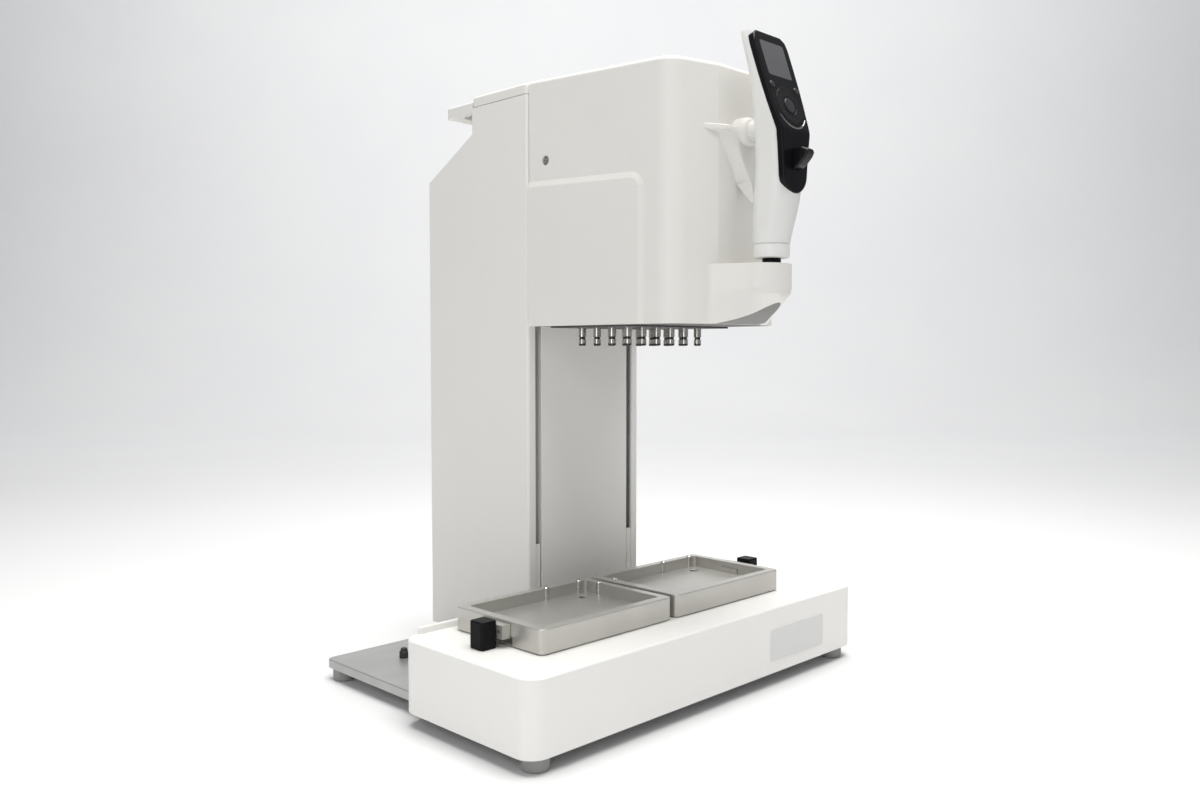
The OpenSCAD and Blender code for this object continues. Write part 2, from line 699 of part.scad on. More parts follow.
module side_screws() {
    color("silver") for (s = [-1, 1])
        translate([s * (head_w / 2 - 10), fy(side_v), side_z]) rotate([0, s * 90, 0]) difference() {
            union() {
                cylinder(r = 2.1, h = 7.6);
                translate([0, 0, 7.6]) cylinder(r = 3.6, h = 1.6);
            }
            translate([0, 0, 8.2]) cylinder(r = 1.5, h = 3, $fn = 6);
        }
}

module head_frame() {
    hw = head_w / 2 - skin;
    color("silver") difference() {
        union() {
            vbox(-hw, hw, back_v - 5, back_v, head_z + 2.5, head_top - 14);
            // cheeks behind the side screws
            for (s = [-1, 1]) vbox(s > 0 ? hw - 5 : 2 - hw, s > 0 ? hw - 2 : 5 - hw, side_v - 17.5, back_v - 5 + e,
                side_z - 17.7, side_z + 18.3);
            // shelf over the nozzle block
            vbox(-60, 60, 46, back_v - 5 + e, block_top, block_top + 5);
            for (s = [-1, 1]) yz(s * 57 - 1.5, s * 57 + 1.5,
                [[60, block_top + 5 - e], [back_v - 5 + e, block_top + 5 - e], [back_v - 5 + e, 420]]);
            vbox(-26, 26, head_v + skin, 46 + e, block_top, block_top + 5);
            vbox(-26, 26, head_v + skin, head_v + skin + 4, block_top - 12, 440);
        }
        for (s = [-1, 1]) translate([s * (hw - 10), fy(side_v), side_z]) rotate([0, s * 90, 0]) cylinder(r = 2.15, h = 12);
        translate([0, fy(back_v + 13), 430]) rotate([90, 0, 0]) slab(70, 90, 30, 12);
        translate([0, fy(16), block_top - 12]) cylinder(r = 10, h = 30);
    }
}

// closing plate inside the cover's lower edge, its front corners cut in short steps
module head_bottom() {
    hw = head_w / 2 - skin;
    ff = head_v + skin;
    cr = 14 - skin;
    fx = flat_x - skin * 0.15;
    yc = ff + facet * (hw - fx);
    th = 90 + atan(facet);
    l = cr / tan(th / 2);
    arc = [for (i = [0 : 6]) [hw - cr + cr * cos(i * (90 - atan(facet)) / 6),
        yc + l - cr * sin(i * (90 - atan(facet)) / 6)]];
    back = back_v - 5;
    color("dimgray") difference() {
        translate([0, front_y, head_z]) linear_extrude(2.5)
            polygon(concat([[-hw, back], [hw, back]], arc, [[fx, ff], [-fx, ff]],
                [for (i = [6 : -1 : 0]) [-arc[i][0], arc[i][1]]]));
        for (i = [0 : cols - 1], j = [0 : rows - 1]) nozzle_at(i, j, head_z - 1) cylinder(r = 4.2, h = 6);
        for (s = [-1, 1], t = [-1, 1]) translate([s * rod_x, fy(field_v) + t * rod_v, head_z - 1]) cylinder(r = 2.06, h = 6);
    }
}

module nozzle_at(i, j, z) {
    translate([(i - (cols - 1) / 2) * pitch, fy(field_v) + (j - (rows - 1) / 2) * pitch, z]) children();
}

module nozzle_block() {
    color("silver") difference() {
        translate([0, fy(field_v), head_z + 2.5]) slab(cols * pitch - 8, rows * pitch - 4, block_top - head_z - 2.5, 4);
        for (i = [0 : cols - 1], j = [0 : rows - 1]) nozzle_at(i, j, head_z) cylinder(r = 2.4, h = 60);
    }
}

module nozzles() {
    r = nozzle_r;
    z1 = head_z + 2.5;
    color("silver") for (i = [0 : cols - 1], j = [0 : rows - 1]) nozzle_at(i, j, 0) rotate_extrude($fn = 48)
        polygon([[0.7, nozzle_z], [r - 0.8, nozzle_z], [r - 0.15, nozzle_z + 0.9], [r - 0.15, nozzle_z + 5.6],
            [r - 0.8, nozzle_z + 5.9], [r - 0.8, nozzle_z + 7.3], [r, nozzle_z + 7.6], [r, z1], [0.7, z1]]);
}

// stripper plate on four guide rods
module ejector_plate() {
    color("dimgray") {
        difference() {
            translate([0, fy(field_v), head_z - 1.45]) slab(cols * pitch + 26, rows * pitch + 20, 1.4, 4);
            for (i = [0 : cols - 1], j = [0 : rows - 1]) nozzle_at(i, j, head_z - 3) cylinder(r = 3.9, h = 6);
        }
        for (s = [-1, 1], t = [-1, 1]) translate([s * rod_x, fy(field_v) + t * rod_v, head_z - 0.05 - e]) cylinder(r = 2, h = 24);
    }
}

// flat outline on the head's front: half width w at the root, w1 at depth v1
module front_plan(w, w1, v1) {
    polygon([[-w, head_v + facet * (w - flat_x)], [-flat_x, head_v], [flat_x, head_v],
        [w, head_v + facet * (w - flat_x)], [w1, v1], [-w1, v1]]);
}

module nose() {
    z1 = 363;
    r = 18.5;
    w = 34.5;
    root = head_v + facet * (w - flat_x);
    color("white") difference() {
        intersection() {
            union() {
                translate([0, front_y, 300]) linear_extrude(z1 - 300)
                    polygon([[-w, root], [-flat_x, head_v], [flat_x, head_v], [w, root], [27.5, -32],
                        [23, -40.5], [20, -45], [10, -52], [-10, -52], [-20, -45], [-23, -40.5], [-27.5, -32]]);
                translate([0, fy(-61.5 + r), 300]) cylinder(r = r, h = z1 - 300);
            }
            yz(-40, 40, [[0, 316.8], [-18, 316.9], [-24, 318], [-31, 320], [-45, 324.7], [-58, 331],
                [-60.6, 334.5], [-61.5, 338], [-61.5, z1 - 1.6], [-59.9, z1], [0, z1]]);
        }
        // screw hole for the spigot
        translate([0, fy(grip_v), 300]) cylinder(r = 2.6, h = 100);
        translate([0, fy(grip_v), 300]) cylinder(r = 6, h = 46);
    }
}

// flared arm that carries the grip's upper end
module handset_bracket() {
    z = 468;
    color("white") difference() {
        union() {
            intersection() {
                translate([0, front_y, z - 80]) linear_extrude(90) front_plan(42.5, 11, -29);
                // seen from the front: a ledge over a concave funnel
                translate([0, fy(8), 0]) rotate([90, 0, 0]) linear_extrude(60) difference() {
                    polygon([[-43, z + 4], [43, z + 4], [43, z - 2], [7, z - 43], [4, z - 72], [-4, z - 72],
                        [-7, z - 43], [-43, z - 2]]);
                    for (s = [-1, 1]) translate([s * 48, z - 43]) circle(r = 41);
                }
                // seen from the side: the front edge sweeps back to the head
                yz(-50, 50, [[0, z - 3 - 70], [head_v - 1, z - 3 - 70], [-20, z - 50], [-23.5, z - 32],
                    [-27, z - 20], [-29, z - 12], [-29, z + 4], [0, z + 4]]);
            }
            ycyl(0, -30, head_v, z, 12);
            ycyl(0, -40.5, -30, z, 8);
        }
        ycyl(0, -42, -37, z, 2.6);
    }
}

// ---- handset ----

module handset_spigot() {
    color("black") translate([0, fy(grip_v), 363]) rotate_extrude()
        polygon([[0, -3], [2.5, -3], [2.5, 0], [7.2, 0], [7.2, 4.3], [3, 4.3], [3, 10], [0, 10]]);
}

module handset_collar() {
    color("white") translate([0, fy(grip_v), 367.3]) rotate_extrude()
        polygon([[3.1, 0], [12.9, 0], [13.9, 1], [14.1, 10.3], [13.3, 10.6], [13.3, 11.2], [3.1, 11.2]]);
}

// level slice of the grip: width, back, front and corner radius
module slice(z, w, vb, vf, r) {
    for (sx = [-1, 1], v = [vb - r, vf + r]) translate([sx * (w / 2 - r), fy(v), z]) cylinder(r = r, h = 0.05);
}

module body_blend() {
    s = [[378.5, 28.4, -33.8, -62.2, 14.1], [391, 30.8, -34, -64.7, 15.3], [409, 33.2, -35, -69.2, 16],
        [438, 34.8, -39, -70.4, 13], [crease_z, 39, -40.6, -70, 10], [488, 43.6, -41.2, -61.5, 7],
        [514, 45, -37.1, -52, 6], [540.6, 43.4, -29.8, -43, 5]];
    for (i = [0 : 6]) hull() {
        slice(s[i][0], s[i][1], s[i][2], s[i][3], s[i][4]);
        slice(s[i + 1][0], s[i + 1][1], s[i + 1][2], s[i + 1][3], s[i + 1][4]);
    }
}

// places its children on the display plane: x across, y up the display, z out of it
module on_face() {
    translate([0, fy(crease_v), crease_z]) rotate([90 - face_lean, 0, 0]) children();
}

module tongue(z0) {
    // lower part of the dark front, seen from the front
    polygon([[-19.2, z0], [19.2, z0], [18.7, -5], [17.7, -12], [16.8, -22], [15.4, -31], [12.6, -40],
        [8, -48], [-8, -48], [-12.6, -40], [-15.4, -31], [-16.8, -22], [-17.7, -12], [-18.7, -5]]);
    translate([0, -43.4]) circle(r = 8.2);
}

module handset_body() {
    color("white") difference() {
        union() {
            body_blend();
            ycyl(0, -46, -40.5, 468, 9);
        }
        on_face() translate([-40, -0.5, -5]) cube([80, 120, 30]);
        translate([0, fy(-66), crease_z]) rotate([90, 0, 0]) linear_extrude(20) tongue(2);
        translate([-40, fy(-90), crease_z - 4]) cube([80, 24, 5]);
        translate([0, fy(grip_v), 378]) cylinder(r = 3.1, h = 6);
    }
}

module face_outline() {
    polygon([[-19.2, -0.5], [19.2, -0.5], [19.7, 6], [21.4, 23], [22.2, 38], [22.5, 55], [22.2, 73.4],
        [13.2, 82.2], [-13.2, 82.2], [-22.2, 73.4], [-22.5, 55], [-22.2, 38], [-21.4, 23], [-19.7, 6]]);
    for (s = [-1, 1]) translate([s * 13.2, 73.2]) circle(r = 9);
}

module handset_face() {
    color("black") difference() {
        union() {
            on_face() translate([0, 0, -5]) linear_extrude(5) face_outline();
            translate([0, fy(-66), crease_z]) rotate([90, 0, 0]) linear_extrude(4.6) tongue(1);
            // ridge across the crease
            on_face() translate([-13, 1.6, -0.6]) rotate([0, 90, 0]) cylinder(r = 1.7, h = 26);
        }
        on_face() {
            translate([0, 59.4, -1.2]) slab(31, 30, 5, 2.5);
            translate([0, 20.4, -1]) difference() {
                cylinder(r = 15.6, h = 5);
                translate([0, 0, -1]) cylinder(r = 7.9, h = 10);
            }
            translate([0, 20.4, -4]) cylinder(r = 6.2, h = 10);
            for (s = [-1, 1]) translate([s * 15.6, 35.6, -4]) cylinder(r = 2.9, h = 10);
        }
        // well of the run button
        vbox(-7.2, 7.2, -90, -67, 434.8, 450.2);
    }
}

module screen() {
    color("gray", 0.5) on_face() translate([0, 59.4, -1.2]) slab(30.8, 29.8, 1.1, 2.4, 0.2);
}

module touch_wheel() {
    color("dimgray") on_face() translate([0, 20.4, -1]) rotate_extrude()
        polygon([[8, 0], [15.5, 0], [15.5, 1.1], [14.9, 1.5], [8.6, 1.2], [8, 1]]);
}

module key(r, z) {
    color("gray") rotate_extrude() polygon([[0, -3], [r - 0.1, -3], [r - 0.1, z - 0.4], [r - 0.5, z], [0, z]]);
}

module key_ok() { on_face() translate([0, 20.4, 0]) key(6.15, 0.9); }
module key_back() { on_face() translate([-15.6, 35.6, 0]) key(2.85, 0.8); }
module key_menu() { on_face() translate([15.6, 35.6, 0]) key(2.85, 0.8); }

module run_button() {
    color("black") intersection() {
        yz(-6.9, 6.9, [[-69.2, 450], [-80.6, 450], [-83.2, 447.6], [button_v, 444.4], [-82.6, 441.2],
            [-78.4, 437], [-73, 435], [-69.2, 435]]);
        translate([0, fy(-69) - 7.5, 430]) slab(13.8, 16, 30, 4);
    }
}

base_plate();
feet();
base_housing();
label_plate();
x_rails();
end_stops();
holder_a();
holder_b();
holder_screws();
nest_pins();
clamp_a();
clamp_a_knob();
clamp_b();
clamp_b_knob();
x_carriage();
rail_blocks();
tower_frame();
z_rails();
z_motor();
power_supply();
tower_side_left();
tower_side_right();
tower_front();
slot_fillers();
tower_back_cover();
connector_panel();
tower_cap();
rear_handle();
back_screws();
power_inlet();
inlet_pins();
switch_frame();
switch_rocker();
data_ports();
lead_screw();
z_carriage();
head_frame();
head_cover();
side_screws();
head_bottom();
nozzle_block();
nozzles();
ejector_plate();
nose();
handset_bracket();
handset_spigot();
handset_collar();
handset_body();
handset_face();
screen();
touch_wheel();
key_ok();
key_back();
key_menu();
run_button();
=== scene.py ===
from math import cos, pi, radians, sin
import bpy
import bmesh
from mathutils import Matrix, Vector


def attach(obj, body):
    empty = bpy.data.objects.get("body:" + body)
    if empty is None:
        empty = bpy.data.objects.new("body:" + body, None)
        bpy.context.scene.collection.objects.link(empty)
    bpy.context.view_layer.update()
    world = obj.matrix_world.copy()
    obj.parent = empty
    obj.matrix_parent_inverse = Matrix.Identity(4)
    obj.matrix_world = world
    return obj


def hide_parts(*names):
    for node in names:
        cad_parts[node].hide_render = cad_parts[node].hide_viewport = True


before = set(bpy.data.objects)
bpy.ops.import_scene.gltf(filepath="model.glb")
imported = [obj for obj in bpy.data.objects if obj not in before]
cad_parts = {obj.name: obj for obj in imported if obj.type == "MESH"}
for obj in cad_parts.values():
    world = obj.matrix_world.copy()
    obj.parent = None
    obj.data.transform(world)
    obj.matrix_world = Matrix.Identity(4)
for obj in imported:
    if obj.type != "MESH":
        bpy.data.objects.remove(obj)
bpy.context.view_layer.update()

# Everything below is in millimetres: x to the right, v back from the base's front face, z up from the bench.
# toFrame turns that into the frame's metres when a piece is finished.
frontY = -110.2
toFrame = Matrix.Scale(0.001, 4) @ Matrix.Translation((0, frontY, 0))


# helpers for shapes

def near(value, target, reach=0.01):
    return abs(value - target) < reach


def rounded(bm, edges, radius, segments):
    bmesh.ops.bevel(bm, geom=list(edges), offset=radius, offset_type="OFFSET", segments=segments,
                    profile=0.5, affect="EDGES", material=-1, clamp_overlap=True)


def sliced(bm, place, normal):
    # adds a row of edges where a plane crosses the shape
    everything = list(bm.verts) + list(bm.edges) + list(bm.faces)
    bmesh.ops.bisect_plane(bm, geom=everything, plane_co=place, plane_no=normal)


def newVerts(result):
    return [g for g in result["geom"] if isinstance(g, bmesh.types.BMVert)]


def along(bm, axis, test=lambda p: True):
    # edges that run along one axis and whose ends both pass the test
    return [e for e in bm.edges if all(test(v.co) for v in e.verts)
            and abs((e.verts[1].co - e.verts[0].co).normalized()[axis]) > 0.999]


def around(bm, faceTest, edgeTest=lambda e: True):
    # edges of the faces whose normal passes one test, if they pass the other
    return [e for e in bm.edges if any(faceTest(f.normal) for f in e.link_faces) and edgeTest(e)]


def tray(lo, hi, corner, edge=0, cornerSteps=10, edgeSteps=3):
    # upright block with rounded corners and a softened top edge
    bm = bmesh.new()
    low, high = Vector(lo), Vector(hi)
    bmesh.ops.create_cube(bm, size=1)
    bmesh.ops.scale(bm, vec=high - low, verts=bm.verts)
    bmesh.ops.translate(bm, vec=(low + high) / 2, verts=bm.verts)
    if corner:
        rounded(bm, along(bm, 2), corner, cornerSteps)
    if edge:
        bm.normal_update()
        rim = around(bm, lambda n: n.z > 0.99, lambda e: any(abs(f.normal.z) < 0.99 for f in e.link_faces))
        rounded(bm, rim, edge, edgeSteps)
    return bm


def outline(points, axis, start, end):
    # flat outline of a few points, pulled along one axis: the points are (v, z) for x, (x, z) for y, (x, v) for z
    bm = bmesh.new()
    corners = [bm.verts.new((*p[:axis], start, *p[axis:])) for p in points]
    face = bmesh.ops.contextual_create(bm, geom=corners)["faces"][0]
    pulled = bmesh.ops.extrude_face_region(bm, geom=[face])
    way = Vector((0, 0, 0))
    way[axis] = end - start
    bmesh.ops.translate(bm, vec=way, verts=newVerts(pulled))
    bmesh.ops.recalc_face_normals(bm, faces=bm.faces)
    return bm


def turned(profile, centre, steps=48, axis=(0, 0, 1)):
    # profile of (radius, height) turned round an axis through centre
    bm = bmesh.new()
    verts = [bm.verts.new((r, 0, h)) for r, h in profile]
    edges = [bm.edges.new(pair) for pair in zip(verts, verts[1:])]
    bmesh.ops.spin(bm, geom=verts + edges, cent=(0, 0, 0), axis=(0, 0, 1), angle=2 * pi, steps=steps,
                   use_merge=True)
    bmesh.ops.remove_doubles(bm, verts=bm.verts, dist=0.0005)
    bmesh.ops.recalc_face_normals(bm, faces=bm.faces)
    turn = Vector((0, 0, 1)).rotation_difference(Vector(axis)).to_matrix().to_4x4()
    bmesh.ops.transform(bm, matrix=Matrix.Translation(centre) @ turn, verts=bm.verts)
    return bm


def rod(centre, radius, length, axis=(0, 0, 1), steps=40):
    return turned([(0, 0), (radius, 0), (radius, length), (0, length)], centre, steps, axis)


def added(bm, *others):
    # puts other shapes into the same mesh as separate shells
    for other in others:
        mesh = bpy.data.meshes.new("part")
        other.to_mesh(mesh)
        bm.from_mesh(mesh)
        bpy.data.meshes.remove(mesh)
        other.free()
    return bm


def combined(bm, others, operation):
    # boolean of a shape with others, each one a bmesh
    def asObject(shape):
        mesh = bpy.data.meshes.new("shape")
        shape.to_mesh(mesh)
        shape.free()
        thing = bpy.data.objects.new("shape", mesh)
        bpy.context.scene.collection.objects.link(thing)
        return thing
    target = asObject(bm)
    tools = [asObject(o) for o in others]
    for tool in tools:
        step = target.modifiers.new("step", "BOOLEAN")
        step.operation = operation
        step.solver = "EXACT"
        step.object = tool
    graph = bpy.context.evaluated_depsgraph_get()
    mesh = bpy.data.meshes.new_from_object(target.evaluated_get(graph), depsgraph=graph)
    result = bmesh.new()
    result.from_mesh(mesh)
    for thing in [target] + tools:
        data = thing.data
        bpy.data.objects.remove(thing)
        bpy.data.meshes.remove(data)
    bpy.data.meshes.remove(mesh)
    bmesh.ops.remove_doubles(result, verts=result.verts, dist=0.0005)
    bmesh.ops.dissolve_degenerate(result, edges=result.edges, dist=0.0005)
    return result


def cutOut(bm, *tools):
    return combined(bm, tools, "DIFFERENCE")


def fused(bm, *others):
    return combined(bm, others, "UNION")


def finishPiece(name, bm, body, material, replaces=(), edge=0, edgeSteps=2, angle=35):
    # turns a bmesh in millimetres into a named piece that rides on a body
    bmesh.ops.transform(bm, matrix=toFrame, verts=bm.verts)
    mesh = bpy.data.meshes.new(name)
    bm.to_mesh(mesh)
    bm.free()
    piece = bpy.data.objects.new(name, mesh)
    bpy.context.scene.collection.objects.link(piece)
    if edge:
        soft = piece.modifiers.new("soft", "BEVEL")
        soft.width = edge * 0.001
        soft.segments = edgeSteps
        soft.limit_method = "ANGLE"
        soft.angle_limit = radians(angle)
        soft.miter_outer = "MITER_ARC"
        soft.use_clamp_overlap = True
    for polygon in mesh.polygons:
        polygon.use_smooth = True
    mesh.set_sharp_from_angle(angle=radians(angle))
    weighted = piece.modifiers.new("even", "WEIGHTED_NORMAL")
    weighted.keep_sharp = True
    graph = bpy.context.evaluated_depsgraph_get()
    final = bpy.data.meshes.new_from_object(piece.evaluated_get(graph), preserve_all_data_layers=True,
                                            depsgraph=graph)
    piece.modifiers.clear()
    piece.data = final
    final.name = name
    bpy.data.meshes.remove(mesh)
    final.materials.clear()
    final.materials.append(material)
    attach(piece, body)
    if replaces:
        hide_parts(*replaces)


# materials

def noiseNode(tree, coords, scale, detail=3, stretch=None, rough=0.55):
    noise = tree.nodes.new("ShaderNodeTexNoise")
    noise.inputs["Scale"].default_value = scale
    noise.inputs["Detail"].default_value = detail
    noise.inputs["Roughness"].default_value = rough
    source = coords.outputs["Object"]
    if stretch:
        mapping = tree.nodes.new("ShaderNodeMapping")
        mapping.inputs["Scale"].default_value = stretch
        tree.links.new(source, mapping.inputs["Vector"])
        source = mapping.outputs["Vector"]
    tree.links.new(source, noise.inputs["Vector"])
    return noise.outputs["Fac"]


def ranged(tree, value, low, high, fromLow=0.3, fromHigh=0.7):
    node = tree.nodes.new("ShaderNodeMapRange")
    node.inputs["From Min"].default_value = fromLow
    node.inputs["From Max"].default_value = fromHigh
    node.inputs["To Min"].default_value = low
    node.inputs["To Max"].default_value = high
    tree.links.new(value, node.inputs["Value"])
    return node.outputs["Result"]


def blended(tree, factor, first, second):
    # first is a colour or what another node gives
    node = tree.nodes.new("ShaderNodeMix")
    node.data_type = "RGBA"
    if isinstance(first, tuple):
        node.inputs[6].default_value = (*first, 1)
    else:
        tree.links.new(first, node.inputs[6])
    node.inputs[7].default_value = (*second, 1)
    tree.links.new(factor, node.inputs[0])
    return node.outputs[2]


def mathNode(tree, operation, value):
    node = tree.nodes.new("ShaderNodeMath")
    node.operation = operation
    tree.links.new(value, node.inputs[0])
    return node


def surface(name, light, dark, roughness, metal=0.0, grain=900, grainDepth=0.00004, patch=14, stretch=None,
            coat=0.0, specular=0.5, detail=3, speck=None, bands=()):
    # colour drifts between two shades in broad patches, with a fine grain in roughness and relief
    material = bpy.data.materials.new(name)
    material.use_nodes = True
    tree = material.node_tree
    shader = tree.nodes["Principled BSDF"]
    coords = tree.nodes.new("ShaderNodeTexCoord")
    colour = blended(tree, ranged(tree, noiseNode(tree, coords, patch, 4), 0, 1), light, dark)
    if speck:
        size, amount, tint = speck
        dots = ranged(tree, noiseNode(tree, coords, size, 6, rough=0.7), 0, amount, 0.58, 0.74)
        colour = blended(tree, dots, colour, tint)
    for centre, reach, tint in bands:
        # level stripe: distance from one height, turned into a soft mask
        split = tree.nodes.new("ShaderNodeSeparateXYZ")
        tree.links.new(coords.outputs["Object"], split.inputs["Vector"])
        away = mathNode(tree, "SUBTRACT", split.outputs["Z"])
        away.inputs[1].default_value = centre
        size = mathNode(tree, "ABSOLUTE", away.outputs[0])
        colour = blended(tree, ranged(tree, size.outputs[0], 1, 0, reach * 0.7, reach * 1.3), colour, tint)
    tree.links.new(colour, shader.inputs["Base Color"])
    fine = noiseNode(tree, coords, grain, detail, stretch)
    gloss = ranged(tree, noiseNode(tree, coords, patch * 5, 5, stretch), *roughness)
    tree.links.new(gloss, shader.inputs["Roughness"])
    relief = tree.nodes.new("ShaderNodeBump")
    relief.inputs["Distance"].default_value = grainDepth
    tree.links.new(fine, relief.inputs["Height"])
    tree.links.new(relief.outputs["Normal"], shader.inputs["Normal"])
    shader.inputs["Metallic"].default_value = metal
    shader.inputs["Specular IOR Level"].default_value = specular
    if coat:
        shader.inputs["Coat Weight"].default_value = coat
        shader.inputs["Coat Roughness"].default_value = 0.08
    return material


shellWhite = surface("shellWhite", (0.8, 0.788, 0.752), (0.775, 0.762, 0.727), (0.42, 0.52), grain=1400,
                     grainDepth=0.00003, patch=6, speck=(60, 0.05, (0.55, 0.54, 0.5)))
coatWhite = surface("coatWhite", (0.815, 0.805, 0.775), (0.79, 0.78, 0.75), (0.46, 0.58), grain=1000,
                    grainDepth=0.00005, patch=5, speck=(45, 0.06, (0.55, 0.54, 0.5)))
# the base's white is lighter than the tower's white: that extra lightness is painted light, standing in for the
# bench's bounce that reaches the base more than the parts above it
baseWhiteWithBounce = surface("baseWhiteWithBounce", (0.88, 0.872, 0.847), (0.86, 0.852, 0.826), (0.44, 0.56), grain=1000,
                    grainDepth=0.00005, patch=5, speck=(45, 0.06, (0.6, 0.59, 0.55)))
gripWhite = surface("gripWhite", (0.8, 0.798, 0.78), (0.78, 0.778, 0.757), (0.3, 0.38), grain=1200,
                    grainDepth=0.000005, patch=20)
trayGrey = surface("trayGrey", (0.57, 0.56, 0.525), (0.52, 0.51, 0.475), (0.29, 0.38), metal=0.6, grain=1500,
                   grainDepth=0.000008, patch=18, speck=(160, 0.06, (0.5, 0.49, 0.46)))
plateMetal = surface("plateMetal", (0.5, 0.5, 0.485), (0.45, 0.45, 0.44), (0.34, 0.48), metal=0.7, grain=700,
                     grainDepth=0.00002, patch=12, stretch=(0.06, 1, 1), detail=5)
frameMetal = surface("frameMetal", (0.62, 0.62, 0.61), (0.55, 0.55, 0.545), (0.3, 0.44), metal=0.9, grain=900,
                     grainDepth=0.00002, patch=16, stretch=(1, 1, 0.08), detail=5)
groundSteel = surface("groundSteel", (0.6, 0.6, 0.6), (0.52, 0.52, 0.53), (0.16, 0.28), metal=1.0, grain=1200,
                      grainDepth=0.00001, patch=30, stretch=(0.1, 1, 1))
turnedSteel = surface("turnedSteel", (0.66, 0.65, 0.63), (0.56, 0.55, 0.53), (0.2, 0.32), metal=1.0, grain=1500,
                      grainDepth=0.000012, patch=60, stretch=(0.3, 0.3, 3))
# the two bands are the dark grooves round each nozzle, by their height in metres
nozzleSteel = surface("nozzleSteel", (0.72, 0.7, 0.67), (0.55, 0.53, 0.5), (0.17, 0.28), metal=1.0, grain=1500,
                      grainDepth=0.000015, patch=60, stretch=(0.3, 0.3, 3),
                      bands=((0.3003, 0.0012, (0.06, 0.055, 0.05)), (0.3064, 0.001, (0.08, 0.075, 0.07))))
slideSteel = surface("slideSteel", (0.55, 0.55, 0.54), (0.48, 0.48, 0.47), (0.3, 0.42), metal=0.85, grain=1500,
                     grainDepth=0.00002, patch=30, stretch=(1, 0.1, 1), detail=5)
knobBlack = surface("knobBlack", (0.004, 0.004, 0.005), (0.007, 0.007, 0.008), (0.36, 0.48), grain=1600,
                    grainDepth=0.00003, patch=40, specular=0.1)
rubberGrey = surface("rubberGrey", (0.33, 0.33, 0.32), (0.26, 0.26, 0.25), (0.66, 0.8), grain=900,
                     grainDepth=0.00006, patch=50, speck=(300, 0.3, (0.2, 0.2, 0.19)))
rubberBlack = surface("rubberBlack", (0.02, 0.02, 0.02), (0.035, 0.035, 0.034), (0.6, 0.75), grain=900,
                      grainDepth=0.00005, patch=50)
darkCoat = surface("darkCoat", (0.045, 0.045, 0.044), (0.07, 0.07, 0.068), (0.45, 0.6), grain=1500,
                   grainDepth=0.00004, patch=40)
leverBlack = surface("leverBlack", (0.004, 0.004, 0.005), (0.007, 0.007, 0.008), (0.2, 0.3), grain=1600,
                     grainDepth=0.00001, patch=40, specular=0.25)
faceBlack = surface("faceBlack", (0.006, 0.006, 0.007), (0.01, 0.01, 0.011), (0.16, 0.26), grain=300,
                    grainDepth=0.000003, patch=35, specular=0.16)
glassDark = surface("glassDark", (0.105, 0.105, 0.11), (0.085, 0.085, 0.09), (0.1, 0.16), grain=300,
                    grainDepth=0.000002, patch=30, coat=0.4)
wheelGrey = surface("wheelGrey", (0.008, 0.008, 0.009), (0.013, 0.013, 0.014), (0.22, 0.32), grain=2000,
                    grainDepth=0.00001, patch=50, specular=0.2)
keyGrey = surface("keyGrey", (0.03, 0.03, 0.032), (0.022, 0.022, 0.024), (0.25, 0.35), grain=2000,
                  grainDepth=0.00001, patch=50)
# light grey metal for the ridge under the wheel: a painted highlight along the crease of the dark front
ridgeHighlightGrey = surface("ridgeHighlightGrey", (0.3, 0.3, 0.3), (0.24, 0.24, 0.24), (0.12, 0.2), metal=0.8, grain=2000,
                    grainDepth=0.000004, patch=50)
# grey for the lining under the nose: partly the underside cover's own darker grey, partly painted shade under the
# nose
underCoverShadeGrey = surface("underCoverShadeGrey", (0.2, 0.198, 0.19), (0.17, 0.168, 0.16), (0.5, 0.6), grain=1200,
                    grainDepth=0.00003, patch=30)
plateBare = surface("plateBare", (0.72, 0.72, 0.71), (0.69, 0.69, 0.68), (0.28, 0.38), grain=1600,
                    grainDepth=0.000012, patch=20)
pinBrass = surface("pinBrass", (0.62, 0.47, 0.2), (0.55, 0.4, 0.16), (0.25, 0.35), metal=1.0, grain=1500,
                   grainDepth=0.00001, patch=60)
print("materials made")

# CAD nodes whose shape stays
carried = {
    "base_plate": plateMetal, "x_rails": groundSteel, "end_stops": rubberBlack, "x_carriage": frameMetal,
    "rail_blocks": groundSteel, "tower_frame": frameMetal, "z_rails": groundSteel, "z_motor": darkCoat,
    "power_supply": frameMetal, "back_screws": turnedSteel, "power_inlet": knobBlack, "inlet_pins": pinBrass,
    "switch_frame": knobBlack, "switch_rocker": knobBlack, "data_ports": slideSteel, "lead_screw": groundSteel,
    "z_carriage": frameMetal, "head_frame": frameMetal, "head_bottom": darkCoat, "nozzle_block": frameMetal,
    "connector_panel": plateMetal, "ejector_plate": darkCoat, "handset_spigot": knobBlack,
    "slot_fillers": coatWhite, "side_screws": turnedSteel, "holder_screws": turnedSteel, "nest_pins": turnedSteel,
    "clamp_a": trayGrey, "clamp_b": trayGrey, "tower_back_cover": coatWhite, "nozzles": nozzleSteel,
}
for node, material in carried.items():
    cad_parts[node].data.materials[0] = material
print("carried nodes painted")

